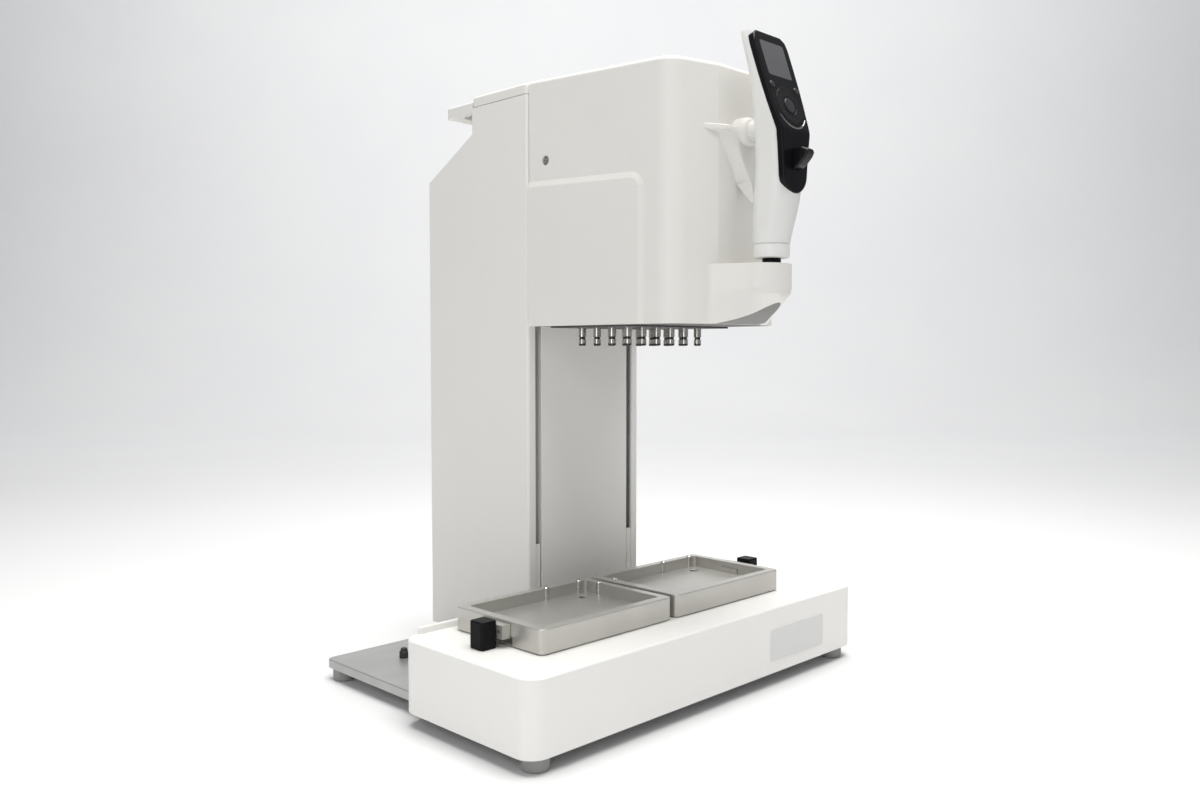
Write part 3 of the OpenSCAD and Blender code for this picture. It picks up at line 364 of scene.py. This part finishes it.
# base housing: an open shell with a notch for the plate behind it and a low lip along its back
housing = dict(half=208.5, depth=155.5, low=12, top=69.6, corner=16, edge=1.6, wall=3,
               plateHalf=191, plateTop=18.9,
               lipFront=151.5, lipTop=74.8, lipCorner=1.9, lipEdge=0.8)
half, depth, wall, corner = (housing[key] for key in ("half", "depth", "wall", "corner"))
shell = tray((-half, 0, housing["low"]), (half, depth, housing["top"]), corner, housing["edge"], 16, 4)
hollow = tray((wall - half, wall, 0), (half - wall, depth - wall, housing["top"] - wall),
              corner - wall, 0, 12)
notch = tray((-housing["plateHalf"], depth - 6, 0), (housing["plateHalf"], depth + 5, housing["plateTop"]), 0)
shell = cutOut(shell, hollow, notch)
lip = tray((corner - half, housing["lipFront"], housing["top"] - 2),
           (half - corner, depth - 0.02, housing["lipTop"]), housing["lipCorner"], housing["lipEdge"], 5, 3)
finishPiece("baseShell", fused(shell, lip), "base", baseWhiteWithBounce, ["base_housing"])

# blank plate on the front
bare = dict(x=111.5, z=37, width=82, height=28, thick=0.95, sunk=0.4, corner=2, edge=0.25)
left, right = bare["x"] - bare["width"] / 2, bare["x"] + bare["width"] / 2
under, over = bare["z"] - bare["height"] / 2, bare["z"] + bare["height"] / 2
plate = outline([(left, under), (right, under), (right, over), (left, over)], 1, bare["sunk"],
                bare["sunk"] - bare["thick"])
rounded(plate, along(plate, 1), bare["corner"], 6)
finishPiece("barePlate", plate, "base", plateBare, ["label_plate"], edge=bare["edge"])

# feet, turned, with a blind bore from below
foot = dict(radius=10.5, height=10.9, bore=4, boreDeep=5, front=(190.5, 15.5), rear=(178.5, 287.6))
wide, tall, bore, deep = (foot[key] for key in ("radius", "height", "bore", "boreDeep"))
padShape = [(0, tall), (wide - 1, tall), (wide, tall - 1), (wide, 1.6), (wide - 0.5, 0.5), (wide - 1.6, 0),
            (bore + 0.4, 0), (bore, 0.4), (bore, deep), (0, deep)]
pads = bmesh.new()
for x, v in (foot["front"], foot["rear"]):
    for side in (-1, 1):
        added(pads, turned(padShape, (side * x, v, 0), 56))
finishPiece("footPads", pads, "base", rubberGrey, ["feet"])

# plate holders: nest, slot for the clamp's slide, three pin pockets and four countersinks
holder = dict(width=147, depth=105, low=70.8, top=89.4, corner=5, edge=0.9, soft=0.35,
              v=90.2, left=-90.7, right=62.3,
              nest=(131, 88.6), floor=79.4,
              slotHalf=10.2, slotHigh=4.9, slotOut=4, slotIn=14,
              recessHalf=19, recessIn=9, recessLow=71.6, recessTop=78,
              pocket=2.65, backPockets=(19.5, 58.5), sidePocket=27.5,
              screws=(48, 30), sink=[(0, -2.5), (2.15, -2.5), (4.65, 0), (4.65, 1), (0, 1)])
w, d, v, floor = holder["width"] / 2, holder["depth"] / 2, holder["v"], holder["floor"]
nestW, nestD = holder["nest"][0] / 2, holder["nest"][1] / 2
for name, x, side, node in (("leftHolder", holder["left"], -1, "holder_a"),
                            ("rightHolder", holder["right"], 1, "holder_b")):
    body = tray((x - w, v - d, holder["low"]), (x + w, v + d, holder["top"]),
                holder["corner"], holder["edge"], 8, 3)
    plinth = tray((x - w + 2, v - d + 2, housing["top"]), (x + w - 2, v + d - 2, holder["low"] + 1), 4, 0, 8)
    nest = tray((x - nestW, v - nestD, floor), (x + nestW, v + nestD, 110), 3, 0, 6)
    end = x + side * w
    slotEnds = sorted((end + side * holder["slotOut"], end - side * holder["slotIn"]))
    slot = tray((slotEnds[0], v - holder["slotHalf"], floor),
                (slotEnds[1], v + holder["slotHalf"], floor + holder["slotHigh"]), 0)
    recess = tray((end - holder["recessIn"], v - holder["recessHalf"], holder["recessLow"]),
                  (end + holder["recessIn"], v + holder["recessHalf"], holder["recessTop"]), 0)
    body = cutOut(fused(body, plinth), nest, slot, recess)
    spots = [(x + p, v + nestD + 1) for p in holder["backPockets"]]
    spots.append((x - side * (nestW + 1), v + holder["sidePocket"]))
    pockets = [rod((*spot, floor - 0.02), holder["pocket"], 20) for spot in spots]
    across, back = holder["screws"]
    sinks = [turned(holder["sink"], (x + dx, v + dv, floor), 32)
             for dx in (-across, across) for dv in (-back, back)]
    body = cutOut(body, *pockets, *sinks)
    finishPiece(name, body, "base", trayGrey, [node], edge=holder["soft"])
print("base made")

# clamp knobs
knob = dict(deep=15, wide=16, low=70.3, top=91.3, corner=2.6, edge=1.3, gap=8.4, shift=-3.6)
for name, x, side, body, node in (("leftKnob", holder["left"], -1, "left_clamp", "clamp_a_knob"),
                                  ("rightKnob", holder["right"], 1, "right_clamp", "clamp_b_knob")):
    start = x + side * (w + knob["gap"])
    low, high = sorted((start, start + side * knob["deep"]))
    mid = v + knob["shift"]
    knobShape = tray((low, mid - knob["wide"] / 2, knob["low"]), (high, mid + knob["wide"] / 2, knob["top"]),
                     knob["corner"], knob["edge"], 6, 4)
    finishPiece(name, knobShape, body, knobBlack, [node])
print("clamps made")

# tower walls: each side sheet turns in round the front corner as far as the slot
tower = dict(half=70.8, front=159.3, back=303, low=28.9, top=517.5, skin=2.5, corner=3.6, edge=0.5,
             slotIn=55.2, slotOut=62,
             leanLow=456.6, leanTop=494, neck=235.8)      # the back leans in from leanLow and ends in the neck
half, front, skin, neck, top = (tower[key] for key in ("half", "front", "skin", "neck", "top"))
sidePoints = [(front, tower["low"]), (tower["back"], tower["low"]), (tower["back"], tower["leanLow"]),
              (neck, tower["leanTop"]), (neck, top), (front, top)]
for name, side, node in (("towerRight", 1, "tower_side_right"), ("towerLeft", -1, "tower_side_left")):
    wall = outline(sidePoints, 0, half - skin, half)
    sliced(wall, (0, front + skin, 0), (0, 1, 0))
    wall.faces.ensure_lookup_table()
    strip = [g for g in wall.faces if g.normal.x < -0.9 and g.calc_center_median().y < front + skin]
    pulled = bmesh.ops.extrude_face_region(wall, geom=strip)
    bmesh.ops.translate(wall, vec=(tower["slotOut"] - half + skin, 0, 0), verts=newVerts(pulled))
    bmesh.ops.delete(wall, geom=strip, context="FACES_ONLY")
    bmesh.ops.recalc_face_normals(wall, faces=wall.faces)
    rounded(wall, along(wall, 2, lambda p: near(p.x, half) and near(p.y, front)), tower["corner"], 8)
    if side < 0:
        bmesh.ops.scale(wall, vec=(-1, 1, 1), verts=wall.verts)
        bmesh.ops.reverse_faces(wall, faces=wall.faces)
    finishPiece(name, wall, "tower", coatWhite, [node], edge=tower["edge"])

# front sheet between the slots, its long edges folded back
fold = dict(deep=11, thick=1.2, edge=0.9)
s, t = tower["slotIn"], fold["thick"]
inner, end = front + skin, front + fold["deep"]
panel = outline([(-s, front), (s, front), (s, end), (s - t, end), (s - t, inner), (t - s, inner), (t - s, end),
                 (-s, end)], 2, tower["low"], top)
finishPiece("towerFront", panel, "tower", coatWhite, ["tower_front"],
            edge=fold["edge"], edgeSteps=4)

# cap with a set-back seat below it, which shows as a dark joint line
cap = dict(low=518.2, top=527.3, corner=4, edge=2.2, seatIn=1.2)
lid = tray((-half, front, cap["low"]), (half, neck, cap["top"]), cap["corner"], cap["edge"], 8, 4)
inset = cap["seatIn"]
seat = tray((inset - half, front + inset, top), (half - inset, neck - inset, cap["low"] + 1), 3, 0, 6)
finishPiece("towerCap", fused(lid, seat), "tower", shellWhite, ["tower_cap"])

# ledge behind the cap, hollow below for the fingers
ledge = dict(low=513.1, top=523.5, back=275.4, corner=5, edge=1.8, soft=0.4,
             grooveHalf=64.8, grooveStart=6, grooveEnd=24, grooveHigh=5.6, grooveCorner=8.6)
shelf = tray((-half, neck - 20, ledge["low"]), (half, ledge["back"], ledge["top"]),
             ledge["corner"], ledge["edge"], 8, 4)
groove = tray((-ledge["grooveHalf"], neck + ledge["grooveStart"], 480),
              (ledge["grooveHalf"], neck + ledge["grooveEnd"], ledge["low"] + ledge["grooveHigh"]),
              ledge["grooveCorner"], 0, 8)
inside = tray((-100, neck - 60, 480), (100, neck, 540), 0)
finishPiece("rearLedge", cutOut(shelf, groove, inside), "tower", shellWhite, ["rear_handle"],
            edge=ledge["soft"])
print("tower made")

# head cover: a shell open below and behind, its front drawn in to a flat face, its top falling forward
head = dict(half=69.2, front=-16.5, back=158.3, low=316.6, top=528.2, corner=14, edge=3.6, skin=2.5,
            drop=9,                     # how much lower the top is in front
            flat=26.5, facet=0.297)     # half width of the flat face, and how fast it falls back beside it
fall = head["drop"] / (head["back"] - head["front"])


def faceAt(x):
    # where the head's front face is, this far from the middle
    return head["front"] + head["facet"] * max(0, x - head["flat"])


def headShape(inset, low, back):
    half, front, flat = head["half"] - inset, head["front"] + inset, head["flat"]
    side = front + head["facet"] * (half - flat)
    bm = outline([(half, back), (half, side), (flat, front), (-flat, front), (-half, side), (-half, back)],
                 2, low, 600)
    rounded(bm, along(bm, 2, lambda p: near(p.y, side)), head["corner"] - inset, 14)
    for p in bm.verts:
        if p.co.z > 590:
            p.co.z = head["top"] - head["drop"] - inset + (p.co.y - head["front"]) * fall
    bm.normal_update()
    rim = around(bm, lambda n: n.z > 0.9, lambda e: not all(near(p.co.y, back) for p in e.verts))
    rounded(bm, rim, head["edge"] - inset, 9)
    return bm


# raised lower panel on each side: a soft slope runs round its top and front, and its top edge climbs backwards
sidePanel = dict(front=23.5, top=436, rise=6, proud=1.8, bend=14, slope=4.6, crest=1.4)
screw = dict(v=137.5, z=457.7, hole=4.3, bore=2.2)
bend, slope = sidePanel["bend"], sidePanel["slope"]
startV, topZ = sidePanel["front"], sidePanel["top"]
middle = Vector((0, startV + bend, topZ - bend))
low, back = head["low"], head["back"]
cover = headShape(0, low, back)
for side in (-1, 1):
    field = outline([(startV, low), (back, low), (back, topZ), (startV, topZ)],
                    0, side * (head["half"] - 0.05), side * (head["half"] + sidePanel["proud"]))
    rounded(field, along(field, 0, lambda p: near(p.y, startV) and p.z > middle.z), bend, 12)
    field.normal_update()
    outer = next(f for f in field.faces if f.normal.x * side > 0.9)
    for p in outer.verts:
        for axis, past in ((1, p.co.y < middle.y + 0.01), (2, p.co.z > middle.z - 0.01)):
            if past:
                p.co[axis] = middle[axis] + (p.co[axis] - middle[axis]) * (bend - slope) / bend
    crest = [e for e in outer.edges
             if all(p.co.z > topZ - slope - 0.01 or p.co.y < middle.y + 0.01 for p in e.verts)
             and not all(p.co.z < low + 0.01 for p in e.verts)]
    rounded(field, crest, sidePanel["crest"], 4)
    for p in field.verts:
        if p.co.z > middle.z - 1:
            p.co.z += sidePanel["rise"] * (p.co.y - startV) / (back - startV)
    cover = fused(cover, field)
cuts = [headShape(head["skin"], low - 5, back + 5)]
for inwards, radius, length, steps in ((2.4, screw["hole"], 8, 32), (10, screw["bore"], 12, 24)):
    for side in (-1, 1):
        start = (side * (head["half"] - inwards), screw["v"], screw["z"])
        cuts.append(rod(start, radius, length, (side, 0, 0), steps))
cover = cutOut(cover, *cuts)
finishPiece("headCover", cover, "head", shellWhite, ["head_cover"], angle=13)

# nose: below the crease heights its sides draw in to a keel, which climbs forward through the points (v, z)
nose = dict(top=363, front=-61.5, root=36.5, proud=3.2, tip=19.4, side=[(27.5, -32), (22.6, -42)],
            edge=2.2, lowEdge=1.8, tipCorner=17.5, sideCorner=9, rootCorner=1.3,
            creases=(345, 339.5), drawStart=-18, drawLong=43.5, drawIn=0.62, drawBack=3.5, drawCrease=0.12,
            keel=[(0, 316.8), (-18, 317), (-24, 318.4), (-31, 320.6), (-38, 323.2), (-45, 326.2),
                  (-52, 329.6), (-58, 332.6), (-61.5, 334.6)])
underside = dict(inset=3.2, proud=0.15, top=344)
rootV = faceAt(nose["root"])


def keelAt(v):
    for (v0, z0), (v1, z1) in zip(nose["keel"], nose["keel"][1:]):
        if v1 <= v <= v0:
            return z0 + (z1 - z0) * (v0 - v) / (v0 - v1)
    return nose["keel"][-1][1]


def noseShape(inset, drop, top):
    root, front = nose["root"] - inset, nose["front"] + inset
    rootFront = rootV - nose["proud"] + inset
    right = [(root, rootFront)] + [(x - inset, v) for x, v in nose["side"]] + [(nose["tip"] - inset, front)]
    back = [(-root, rootFront), (-root, rootV), (-head["flat"], head["front"]), (head["flat"], head["front"]),
            (root, rootV)]
    bm = outline(back + right + [(-x, v) for x, v in reversed(right[1:])], 2, 300, top)
    (_, sideStart), (_, sideEnd) = nose["side"]
    rounded(bm, along(bm, 2, lambda p: p.y < front + 0.1), nose["tipCorner"] - inset, 14)
    rounded(bm, along(bm, 2, lambda p: sideEnd - 0.1 < p.y < sideStart + 0.1), nose["sideCorner"], 6)
    if not inset:
        rounded(bm, along(bm, 2, lambda p: near(p.y, rootFront, 0.1)), nose["rootCorner"], 4)
    for v, z in nose["keel"][2:-1]:
        sliced(bm, (0, v, 0), (0, 1, 0))
    for z in nose["creases"]:
        sliced(bm, (0, 0, z), (0, 0, 1))
    for p in bm.verts:
        low = p.co.z < 301
        share = 1 if low else nose["drawCrease"] if near(p.co.z, nose["creases"][1], 0.1) else 0
        ahead = min(max((nose["drawStart"] - p.co.y) / nose["drawLong"], 0), 1)
        if low:
            p.co.z = keelAt(p.co.y) - drop
        p.co.x *= 1 - nose["drawIn"] * ahead * share
        p.co.y += nose["drawBack"] * ahead * ahead * share
    bm.normal_update()
    return bm


snout = noseShape(0, 0, nose["top"])
lowRim = around(snout, lambda n: n.z < -0.6, lambda e: any(abs(f.normal.z) < 0.5 for f in e.link_faces)
                and min(p.co.y for p in e.verts) < rootV - nose["proud"] - 1)
rounded(snout, lowRim, nose["lowEdge"], 4)
snout.normal_update()
rim = around(snout, lambda n: n.z > 0.9, lambda e: any(f.normal.z < 0.9 for f in e.link_faces)
             and min(p.co.y for p in e.verts) < head["front"] - 0.05)
rounded(snout, rim, nose["edge"], 4)
finishPiece("nose", snout, "head", shellWhite, ["nose"], angle=40)
# grey lining just below the nose's keel: it gives the underside a darker cover and also paints in the shade that
# falls there
lining = noseShape(underside["inset"], underside["proud"], underside["top"])
finishPiece("noseUnder", lining, "head", underCoverShadeGrey)


def skinned(bm, rings):
    # joins rings of edges one to the next and closes both ends
    for first, second in zip(rings, rings[1:]):
        bmesh.ops.bridge_loops(bm, edges=first + second)
    for ring in (rings[0], rings[-1]):
        bmesh.ops.edgeloop_fill(bm, edges=ring)
    bmesh.ops.recalc_face_normals(bm, faces=bm.faces)


# bracket: a shelf that runs down into a web, with a boss and a short neck to the handset
# levels: height, half width at the head, half width in front, front, and its back where that leaves the head
bracket = dict(z=468, neck=8, neckV=-28, neckLong=12.5, corner=1.2, rim=1.4, sunk=0.6,
               levels=[(471.5, 43, 23, -22), (467.5, 43, 23, -22.4), (466, 30, 15, -23), (460, 27, 12, -23),
                       (453, 20.5, 11, -24), (446, 14.5, 9, -25.5), (438, 9.2, 7, -27.5),
                       (431, 6, 5.4, -29.5), (426, 4.4, 4.2, -31, -17.5), (421, 3.6, 3.4, -32, -21.5),
                       (416, 2.8, 2.6, -32.6, -25.5), (411.5, 2, 1.8, -32.8, -29)])
arm = bmesh.new()
rings = []
for z, root, tipHalf, v, *off in bracket["levels"]:
    back = off[0] if off else faceAt(root) + bracket["sunk"]
    corners = [arm.verts.new((x, y, z)) for x, y in ((-root, back), (root, back), (tipHalf, v), (-tipHalf, v))]
    rings.append([arm.edges.new((corners[i - 1], corners[i])) for i in range(4)])
skinned(arm, rings)
downwards = [e for e in arm.edges if abs(e.verts[0].co.z - e.verts[1].co.z) > 0.5
             and all(p.co.y < head["front"] - 0.2 for p in e.verts)]
rounded(arm, downwards, bracket["corner"], 4)
arm.normal_update()
rim = around(arm, lambda n: n.z > 0.95, lambda e: not all(p.co.y > head["front"] - 0.2 for p in e.verts))
rounded(arm, rim, bracket["rim"], 3)
dome = [(0, 0), (11.6, 0), (11.5, 8)]
dome += [(7 + 4.5 * cos(radians(a)), 8 + 6 * sin(radians(a))) for a in range(0, 91, 15)] + [(0, 14)]
boss = turned(dome, (0, head["front"] + 0.5, bracket["z"]), 48, (0, -1, 0))
neckRod = rod((0, bracket["neckV"], bracket["z"]), bracket["neck"], bracket["neckLong"], (0, -1, 0))
arm = fused(arm, boss, neckRod)
finishPiece("gripBracket", arm, "head", shellWhite, ["handset_bracket"], angle=40)
print("head made")

# handset grip, skinned over level slices: height, width, back, front and corner radius
grip = dict(axisV=-48, creaseV=-69.9, creaseZ=463, lean=19,
            slices=[(378.6, 28.4, -33.8, -62.2, 14.1), (384, 29.3, -33.8, -63.2, 14.4),
                    (391, 30.8, -34, -64.7, 15), (400, 32.2, -34.4, -67, 15.2),
                    (409, 33.2, -35.2, -69, 15), (424, 34, -37.2, -70, 13.6),
                    (438, 34.8, -39, -70.4, 12.4), (451, 36.6, -40, -70.3, 11), (463, 39, -40.6, -70, 9.5),
                    (475, 41.6, -41.1, -66, 8.4), (488, 43.6, -41.2, -61.5, 7.6), (501, 44.7, -39.8, -57, 7),
                    (514, 45, -37.1, -52, 6.6), (528, 44.6, -33.5, -47.4, 6), (536, 43.9, -31.2, -44.6, 5.4),
                    (540.4, 42.2, -30.4, -42.6, 4.6)])
handle = bmesh.new()
rings = []
for z, width, back, front, corner in grip["slices"]:
    half = width / 2
    ring = [(-half, back), (half, back), (half, front), (-half, front)]
    face = handle.faces.new([handle.verts.new((x, v, z)) for x, v in ring])
    bmesh.ops.bevel(handle, geom=list(face.verts), offset=min(corner, (back - front) / 2 - 0.2, half - 0.1),
                    segments=8, profile=0.5, affect="VERTICES", material=-1)
    level = [f for f in handle.faces if all(near(p.co.z, z, 0.001) for p in f.verts)]
    rings.append(list(level[0].edges))
    bmesh.ops.delete(handle, geom=level, context="FACES_ONLY")
skinned(handle, rings)
faceTurn = (Matrix.Translation((0, grip["creaseV"], grip["creaseZ"]))
            @ Matrix.Rotation(radians(90 - grip["lean"]), 4, "X"))


def onFace(bm):
    # x across, y up the display, z out of it
    bmesh.ops.transform(bm, matrix=faceTurn, verts=bm.verts)
    return bm


# dark front, on its own flat: one outline whose half is given above and below the crease
darkFront = dict(thick=5, edge=1.5, bend=4.2, steps=8,
                 upper=[(19.2, 0), (19.8, 6), (21.4, 23), (22.2, 38), (22.5, 55), (22.3, 72), (20.8, 78.5),
                        (15.5, 82.2)],
                 lower=[(18.7, -5), (17.7, -12), (16.9, -20), (16.1, -28)])
upper, lower = darkFront["upper"], list(darkFront["lower"])
lower += [(15.6 * cos(radians(a)), -33.5 - 14.3 * sin(radians(a))) for a in (8, 20, 32, 44, 56, 67, 78, 90)]

# its seat in the grip, tilted above the crease and upright below it
seatSide = [(19.2, 2)] + lower
tongue = [(-x, y) for x, y in seatSide] + seatSide[-2::-1]
faceCut = onFace(tray((-40, -0.5, -5), (40, 120, 30), 0))
lowCut = outline([(x, grip["creaseZ"] + z) for x, z in tongue], 1, -66, -90)
handle = cutOut(handle, faceCut, lowCut)
finishPiece("gripShell", handle, "head", gripWhite, ["handset_body"], angle=28)

# collar, with a thin step at its top that shows as a joint line
collar = dict(low=367.3, profile=[(3.1, 0), (12.6, 0), (13.6, 0.5), (13.95, 1.2), (14.1, 9.9), (13.9, 10.3),
                                  (13.35, 10.5), (13.35, 11.3), (3.1, 11.3), (3.1, 0)])
collarShape = turned(collar["profile"], (0, grip["axisV"], collar["low"]), 64)
finishPiece("gripCollar", collarShape, "head", gripWhite, ["handset_collar"])
print("grip made")

# what sits in the dark front, measured on its flat
display = dict(half=15.5, low=44.4, top=74.4, deep=1.2, corner=2.5, gap=0.1, edge=0.2)
wheel = dict(y=20.4, deep=1, outer=15.6, inner=7.9,
             profile=[(8, 0), (15.5, 0), (15.5, 1.0), (15.3, 1.3), (14.9, 1.45), (12, 1.15), (8.8, 1.3),
                      (8.2, 1.25), (8, 1.0), (8, 0)])
keys = dict(okRadius=6.05, sideX=15.6, sideY=35.6, sideRadius=2.75, gap=0.15)
ridge = dict(end=10.5, profile=[(18.3, -0.3), (18.3, 0.15), (18.7, 0.5), (19.3, 0.5), (19.7, 0.15), (19.7, -0.3),
                                (18.3, -0.3)])
wheelY, keyX, keyY = wheel["y"], keys["sideX"], keys["sideY"]


def folded(bm):
    # bends what lies below the crease back by the lean, round a short arc
    span, lean, steps = darkFront["bend"], radians(grip["lean"]), darkFront["steps"]
    for p in bm.verts:
        x, y, z = p.co
        run = span / 2 - y      # how far past the start of the bend
        if run <= 0:
            continue
        inBend = min(run, span)
        py, pz = span / 2, 0.0
        for i in range(steps):      # down the bend in small steps, so that it stays round
            angle = lean * min((i + 0.5) * inBend / steps / span, 1)
            py -= cos(angle) * inBend / steps
            pz -= sin(angle) * inBend / steps
        angle = lean * min(inBend / span, 1)
        py -= cos(angle) * (run - inBend)
        pz -= sin(angle) * (run - inBend)
        p.co = (x, py - sin(angle) * z, pz + cos(angle) * z)
    return bm


downLeft = [(-x, y) for x, y in upper[::-1] + lower]
dark = outline(upper + downLeft + lower[-2::-1], 2, -darkFront["thick"], 0)
dark.normal_update()
rounded(dark, around(dark, lambda n: n.z > 0.9), darkFront["edge"], 4)
half, low, top, deep = (display[key] for key in ("half", "low", "top", "deep"))
window = tray((-half, low, -deep), (half, top, 4), display["corner"], 0, 6)
ringCut = cutOut(rod((0, wheelY, -wheel["deep"]), wheel["outer"], 5, steps=72),
                 rod((0, wheelY, -3), wheel["inner"], 10, steps=56))
keyCuts = [rod((0, wheelY, -4), keys["okRadius"] + keys["gap"], 10, steps=48)]
keyCuts += [rod((x, keyY, -4), keys["sideRadius"] + keys["gap"], 10, steps=32) for x in (-keyX, keyX)]
dark = cutOut(dark, window, ringCut, *keyCuts)
for y in (-3.5, -2, -0.7, 0.7, 2, 3.5):
    sliced(dark, (0, y, 0), (0, 1, 0))
leverWell = tray((-5.6, -90, 433.2), (5.6, -67, 448.8), 0)
dark = cutOut(onFace(folded(dark)), leverWell)
finishPiece("gripFront", dark, "head", faceBlack, ["handset_face"], angle=30)

gap = display["gap"]
glass = tray((gap - half, low + gap, -deep), (half - gap, top - gap, -gap), display["corner"] - gap,
             display["edge"], 6, 2)
finishPiece("displayGlass", onFace(glass), "head", glassDark, ["screen"])
touchRing = turned(wheel["profile"], (0, wheelY, -wheel["deep"]), 72)
finishPiece("touchRing", onFace(touchRing), "head", wheelGrey, ["touch_wheel"])
# the ridge follows the wheel's lower half; its shape is drawn, and its light grey metal paints the bright
# highlight along the crease
arc = cutOut(turned(ridge["profile"], (0, wheelY, 0), 96), tray((-30, ridge["end"], -3), (30, 60, 3), 0))
finishPiece("faceRidge", onFace(arc), "head", ridgeHighlightGrey)

for name, x, y, radius, top, body, node in (
        ("okKey", 0, wheelY, keys["okRadius"], 0.9, "ok_key", "key_ok"),
        ("backKey", -keyX, keyY, keys["sideRadius"], 0.8, "back_key", "key_back"),
        ("menuKey", keyX, keyY, keys["sideRadius"], 0.8, "menu_key", "key_menu")):
    key = turned([(0, -3), (radius, -3), (radius, top - 0.5), (radius - 0.15, top - 0.2), (radius - 0.5, top),
                  (0, top)], (x, y, 0), 40)
    finishPiece(name, onFace(key), body, keyGrey, [node])

# lever with a hooked lip, side outline by v and z
runLever = dict(half=5.4, edge=2,
                side=[(-69.2, 448), (-79.5, 448.6), (-82.4, 447), (-83.3, 444.6), (-81.6, 441.2),
                      (-77, 436.4), (-74, 433.8), (-69.2, 433.4)])
lever = outline(runLever["side"], 0, -runLever["half"], runLever["half"])
lever.normal_update()
lipEdges = around(lever, lambda n: abs(n.x) > 0.9, lambda e: all(p.co.y < -73.5 for p in e.verts))
rounded(lever, lipEdges, runLever["edge"], 5)
finishPiece("runLever", lever, "run_lever", leverBlack, ["run_button"], angle=40)
print("handset made")

# stage, in metres: one sheet, level floor that sweeps up behind the object, square to the view
sheet = dict(near=-3.5, bend=2.6, radius=1.6, top=4.5, half=7)
start, radius, half = sheet["bend"], sheet["radius"], sheet["half"]
line = [(sheet["near"], 0), (start, 0)]
line += [(start + radius * sin(radians(a)), radius * (1 - cos(radians(a)))) for a in range(6, 91, 6)]
line.append((start + radius, sheet["top"]))
sweep = bmesh.new()
verts = [sweep.verts.new((-half, y, z)) for y, z in line]
edges = [sweep.edges.new(pair) for pair in zip(verts, verts[1:])]
pulled = bmesh.ops.extrude_edge_only(sweep, edges=edges)
bmesh.ops.translate(sweep, vec=(2 * half, 0, 0), verts=newVerts(pulled))
bmesh.ops.rotate(sweep, cent=(0, 0, 0), matrix=Matrix.Rotation(radians(-45), 3, "Z"), verts=sweep.verts)
bmesh.ops.recalc_face_normals(sweep, faces=sweep.faces)
sheetMesh = bpy.data.meshes.new("backdrop")
sweep.to_mesh(sheetMesh)
sweep.free()
for polygon in sheetMesh.polygons:
    polygon.use_smooth = True
backdrop = bpy.data.objects.new("backdrop", sheetMesh)
bpy.context.scene.collection.objects.link(backdrop)
sheetMesh.materials.append(surface("paleSheet", (0.87, 0.87, 0.87), (0.85, 0.85, 0.855), (0.55, 0.65), grain=200,
                                   grainDepth=0.00002, patch=2))

# light: a soft world, a large overhead box, two weak fills from the left, and a wash on the sheet behind
ambient = dict(colour=(0.95, 0.97, 1.0), strength=0.27)
lights = dict(
    overhead=dict(place=(0.05, -0.15, 1.75), aim=(0, 0, 0), size=(1.5, 1.5), power=44, colour=(1, 0.99, 0.97)),
    keyFill=dict(place=(-2.0, -1.0, 1.6), aim=(0, 0, 0.25), size=(0.7, 0.7), power=6.5),
    lowFill=dict(place=(-1.8, -0.8, 0.4), aim=(0, 0, 0.1), size=(0.6, 0.6), power=3.2),
    wallWash=dict(place=(1.35, 1.35, 2.6), aim=(3.2, 3.2, 0.9), size=(5.6, 1.0), power=68))
world = bpy.data.worlds.new("studio")
bpy.context.scene.world = world
world.use_nodes = True
background = world.node_tree.nodes["Background"]
background.inputs["Color"].default_value = (*ambient["colour"], 1)
background.inputs["Strength"].default_value = ambient["strength"]


def softbox(name, place, aim, size, power, colour=(1, 1, 1)):
    data = bpy.data.lights.new(name, "AREA")
    data.shape = "RECTANGLE"
    data.size, data.size_y = size
    data.energy = power
    data.color = colour
    lamp = bpy.data.objects.new(name, data)
    lamp.location = place
    lamp.rotation_euler = (Vector(aim) - Vector(place)).to_track_quat("-Z", "Y").to_euler()
    bpy.context.scene.collection.objects.link(lamp)


for name, values in lights.items():
    softbox(name, **values)
bpy.context.scene.view_settings.view_transform = "Standard"

# camera: place in metres, yaw clockwise from +y and pitch in degrees, lens and sensor in millimetres
view = dict(place=(-0.66446, -0.63129, 0.29631), yaw=45.12, pitch=-2.80, lens=30.83, sensor=36)
camera = bpy.data.cameras.new("view")
camera.lens = view["lens"]
camera.sensor_width = view["sensor"]
camera.clip_start = 0.02
eye = bpy.data.objects.new("view", camera)
eye.location = view["place"]
yaw, pitch = radians(view["yaw"]), radians(view["pitch"])
look = Vector((cos(pitch) * sin(yaw), cos(pitch) * cos(yaw), sin(pitch)))
eye.rotation_euler = look.to_track_quat("-Z", "Y").to_euler()
bpy.context.scene.collection.objects.link(eye)
bpy.context.scene.camera = eye
print("scene ready")
